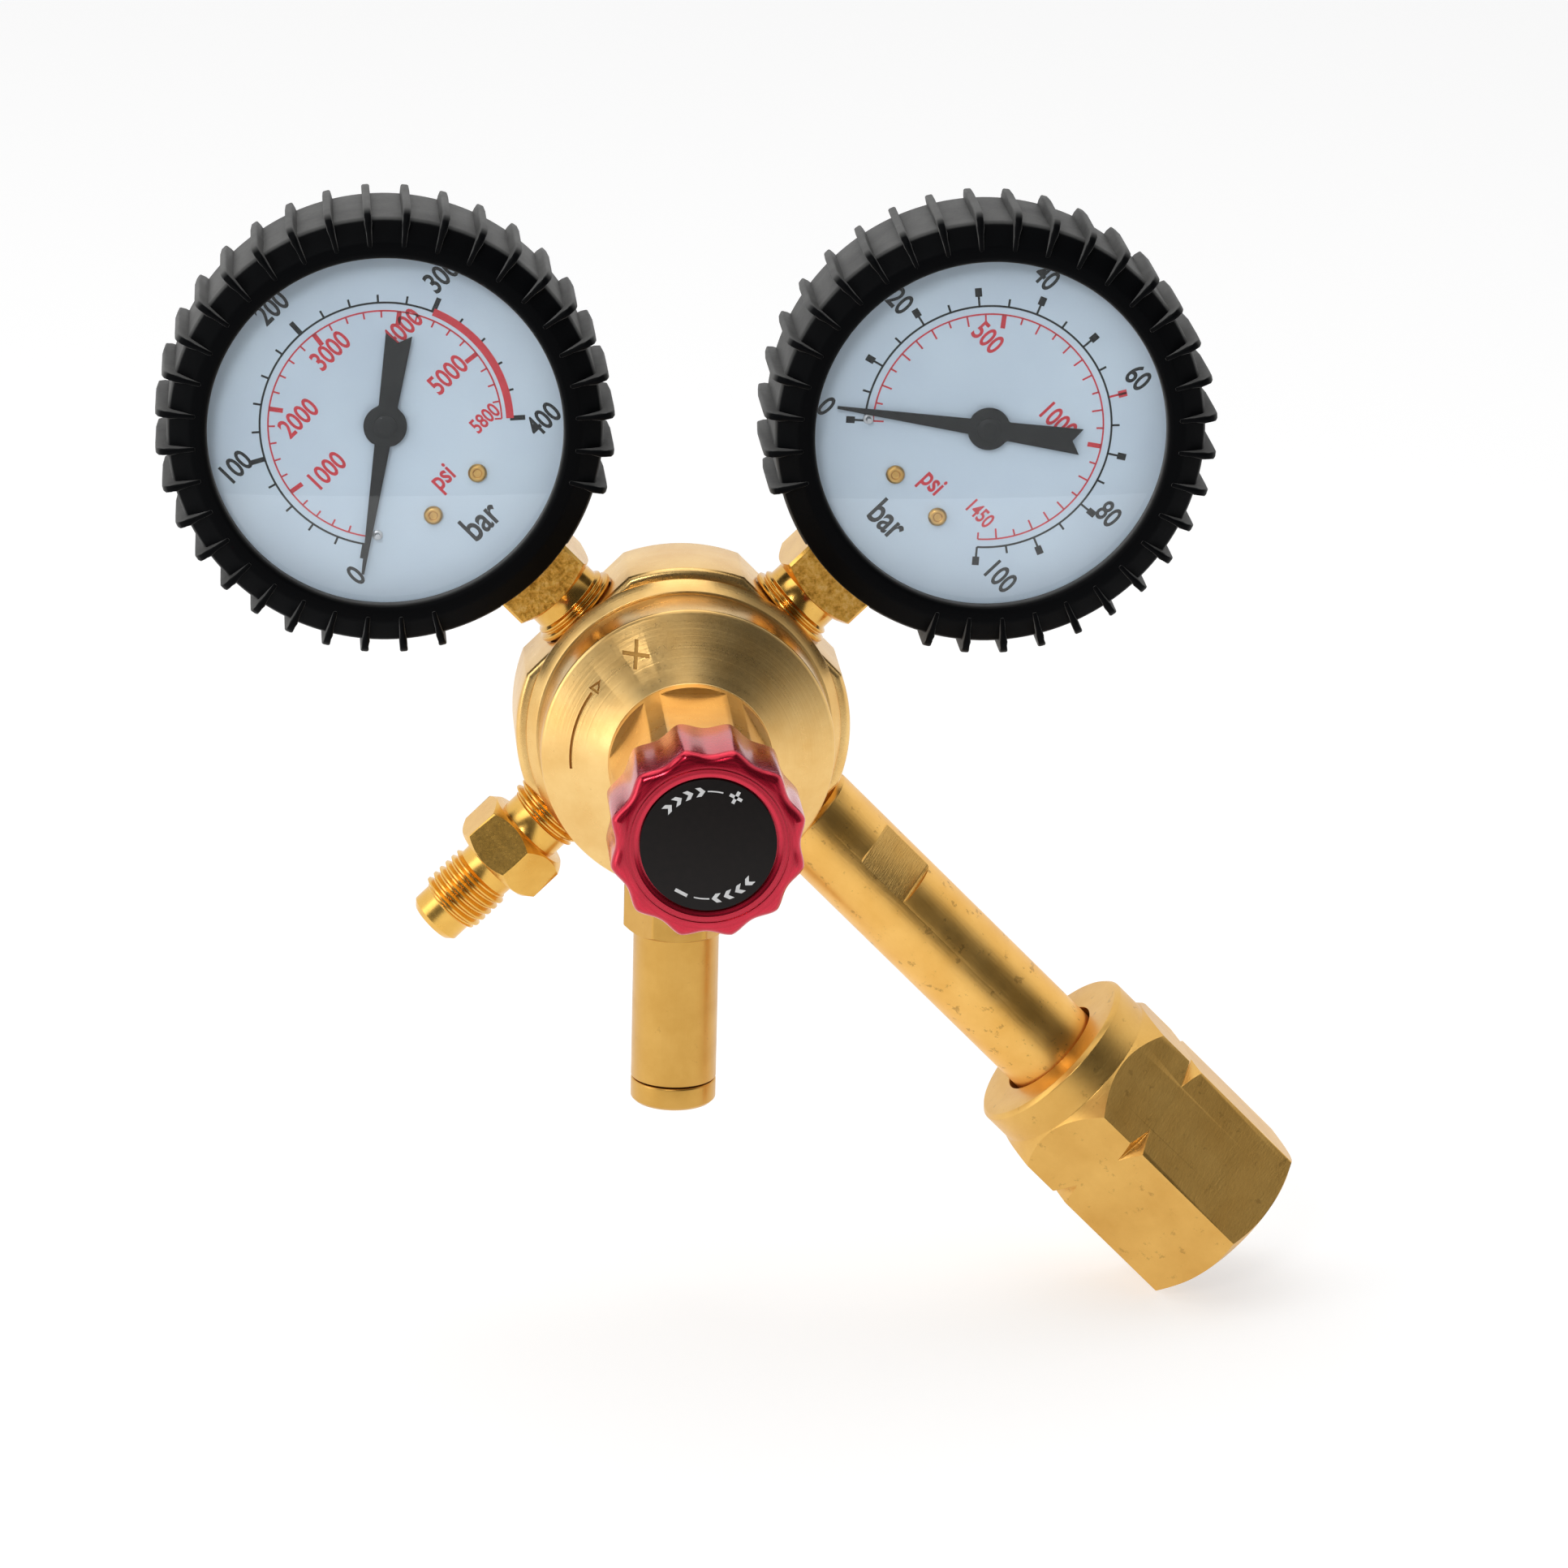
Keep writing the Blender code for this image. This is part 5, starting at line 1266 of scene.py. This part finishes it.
def makeFloor():
    low, half = cadBox[0][2], studio["floorSize"] / 2
    bm = bmesh.new()
    bmesh.ops.create_grid(bm, x_segments=1, y_segments=1, size=half)
    # the table ends in front, so the dials and the knob mirror the dim room there
    bmesh.ops.translate(bm, verts=bm.verts, vec=(0, half + studio["tableEdge"], low - studio["gap"]))
    mesh = bpy.data.meshes.new("floor")
    bm.to_mesh(mesh)
    bm.free()
    floor = bpy.data.objects.new("floor", mesh)
    bpy.context.scene.collection.objects.link(floor)
    look = {"Base Color": colour("#F2F2F2"), "Roughness": 0.9}
    material, tree, shader = newMaterial("pale floor", look)
    rays = addNode(tree, "LightPath").outputs
    seen = compute(tree, "MAXIMUM", rays["Is Camera Ray"], rays["Is Glossy Ray"])
    seen = compute(tree, "MAXIMUM", seen, rays["Is Transmission Ray"])
    share = compute(tree, "MULTIPLY", seen, 1 - studio["shadowShare"])
    glow = addNode(tree, "Emission", None, {"Strength": studio["glow"]})
    blend = addNode(tree, "MixShader", None, {0: share, 1: shader.outputs[0], 2: glow.outputs[0]})
    tree.links.new(blend.outputs[0], tree.nodes["Material Output"].inputs["Surface"])
    mesh.materials.append(material)


def makeWorld():
    # a white tent, open and dim on the side that the dials face
    world = bpy.data.worlds.new("studio")
    bpy.context.scene.world = world
    world.use_nodes = True
    tree = world.node_tree
    tree.nodes.clear()
    rays = addNode(tree, "LightPath").outputs
    facing = {0: addNode(tree, "TexCoord").outputs["Generated"], 1: Vector(studio["opening"]).normalized()}
    opening = addNode(tree, "VectorMath", {"operation": "DOT_PRODUCT"}, facing).outputs["Value"]
    limits = {"From Min": 0.2, "From Max": 0.75, "To Min": studio["tent"], "To Max": studio["dim"]}
    tent = addNode(tree, "MapRange", {"interpolation_type": "SMOOTHSTEP"}, {"Value": opening, **limits})
    seen = compute(tree, "MAXIMUM", rays["Is Camera Ray"], rays["Is Transmission Ray"])
    strength = addNode(tree, "Mix", None, {"Factor": seen, 2: tent.outputs[0], 3: 1.0})
    sky = addNode(tree, "Background", None, {"Color": (1, 1, 1, 1), "Strength": strength.outputs[0]})
    addNode(tree, "OutputWorld", None, {"Surface": sky.outputs[0]})


def makeLamp(name, spot, target, size, power):
    light = bpy.data.lights.new(name, "AREA")
    light.shape = "RECTANGLE"
    light.size, light.size_y = size
    light.energy = power
    lamp = bpy.data.objects.new(name, light)
    bpy.context.scene.collection.objects.link(lamp)
    lamp.location = spot
    lamp.rotation_euler = (Vector(target) - Vector(spot)).to_track_quat("-Z", "Y").to_euler()


def makeCamera():
    view = {
        "spot": (-0.07039, -1.03888, 0.31056),
        "right": (0.99673, -0.07711, 0.02397),
        "up": (0.00013, 0.29826, 0.95448),
        "ahead": (0.08075, 0.95136, -0.2973),
        "lens": 152.67,
        "sensor": 36,
    }
    data = bpy.data.cameras.new("camera")
    data.lens = view["lens"]
    data.sensor_width = view["sensor"]
    camera = bpy.data.objects.new("camera", data)
    bpy.context.scene.collection.objects.link(camera)
    back = -Vector(view["ahead"])
    turn = Matrix((Vector(view["right"]), Vector(view["up"]), back)).transposed().to_4x4()
    camera.matrix_world = Matrix.Translation(view["spot"]) @ turn
    bpy.context.scene.camera = camera


makeFloor()
makeWorld()
makeLamp("top softbox", (-0.1, -0.1, 1.1), (0, 0, 0), (1.2, 1.0), 4.2)
makeLamp("left softbox", (-1.0, -0.45, 0.3), (0, 0, 0), (0.5, 1.0), 2.5)
makeLamp("front key", (-0.5, -1.6, 0.9), (0, 0, 0.02), (0.35, 0.35), 6)
makeCamera()
bpy.context.scene.view_settings.view_transform = "Standard"
print("studio ready")
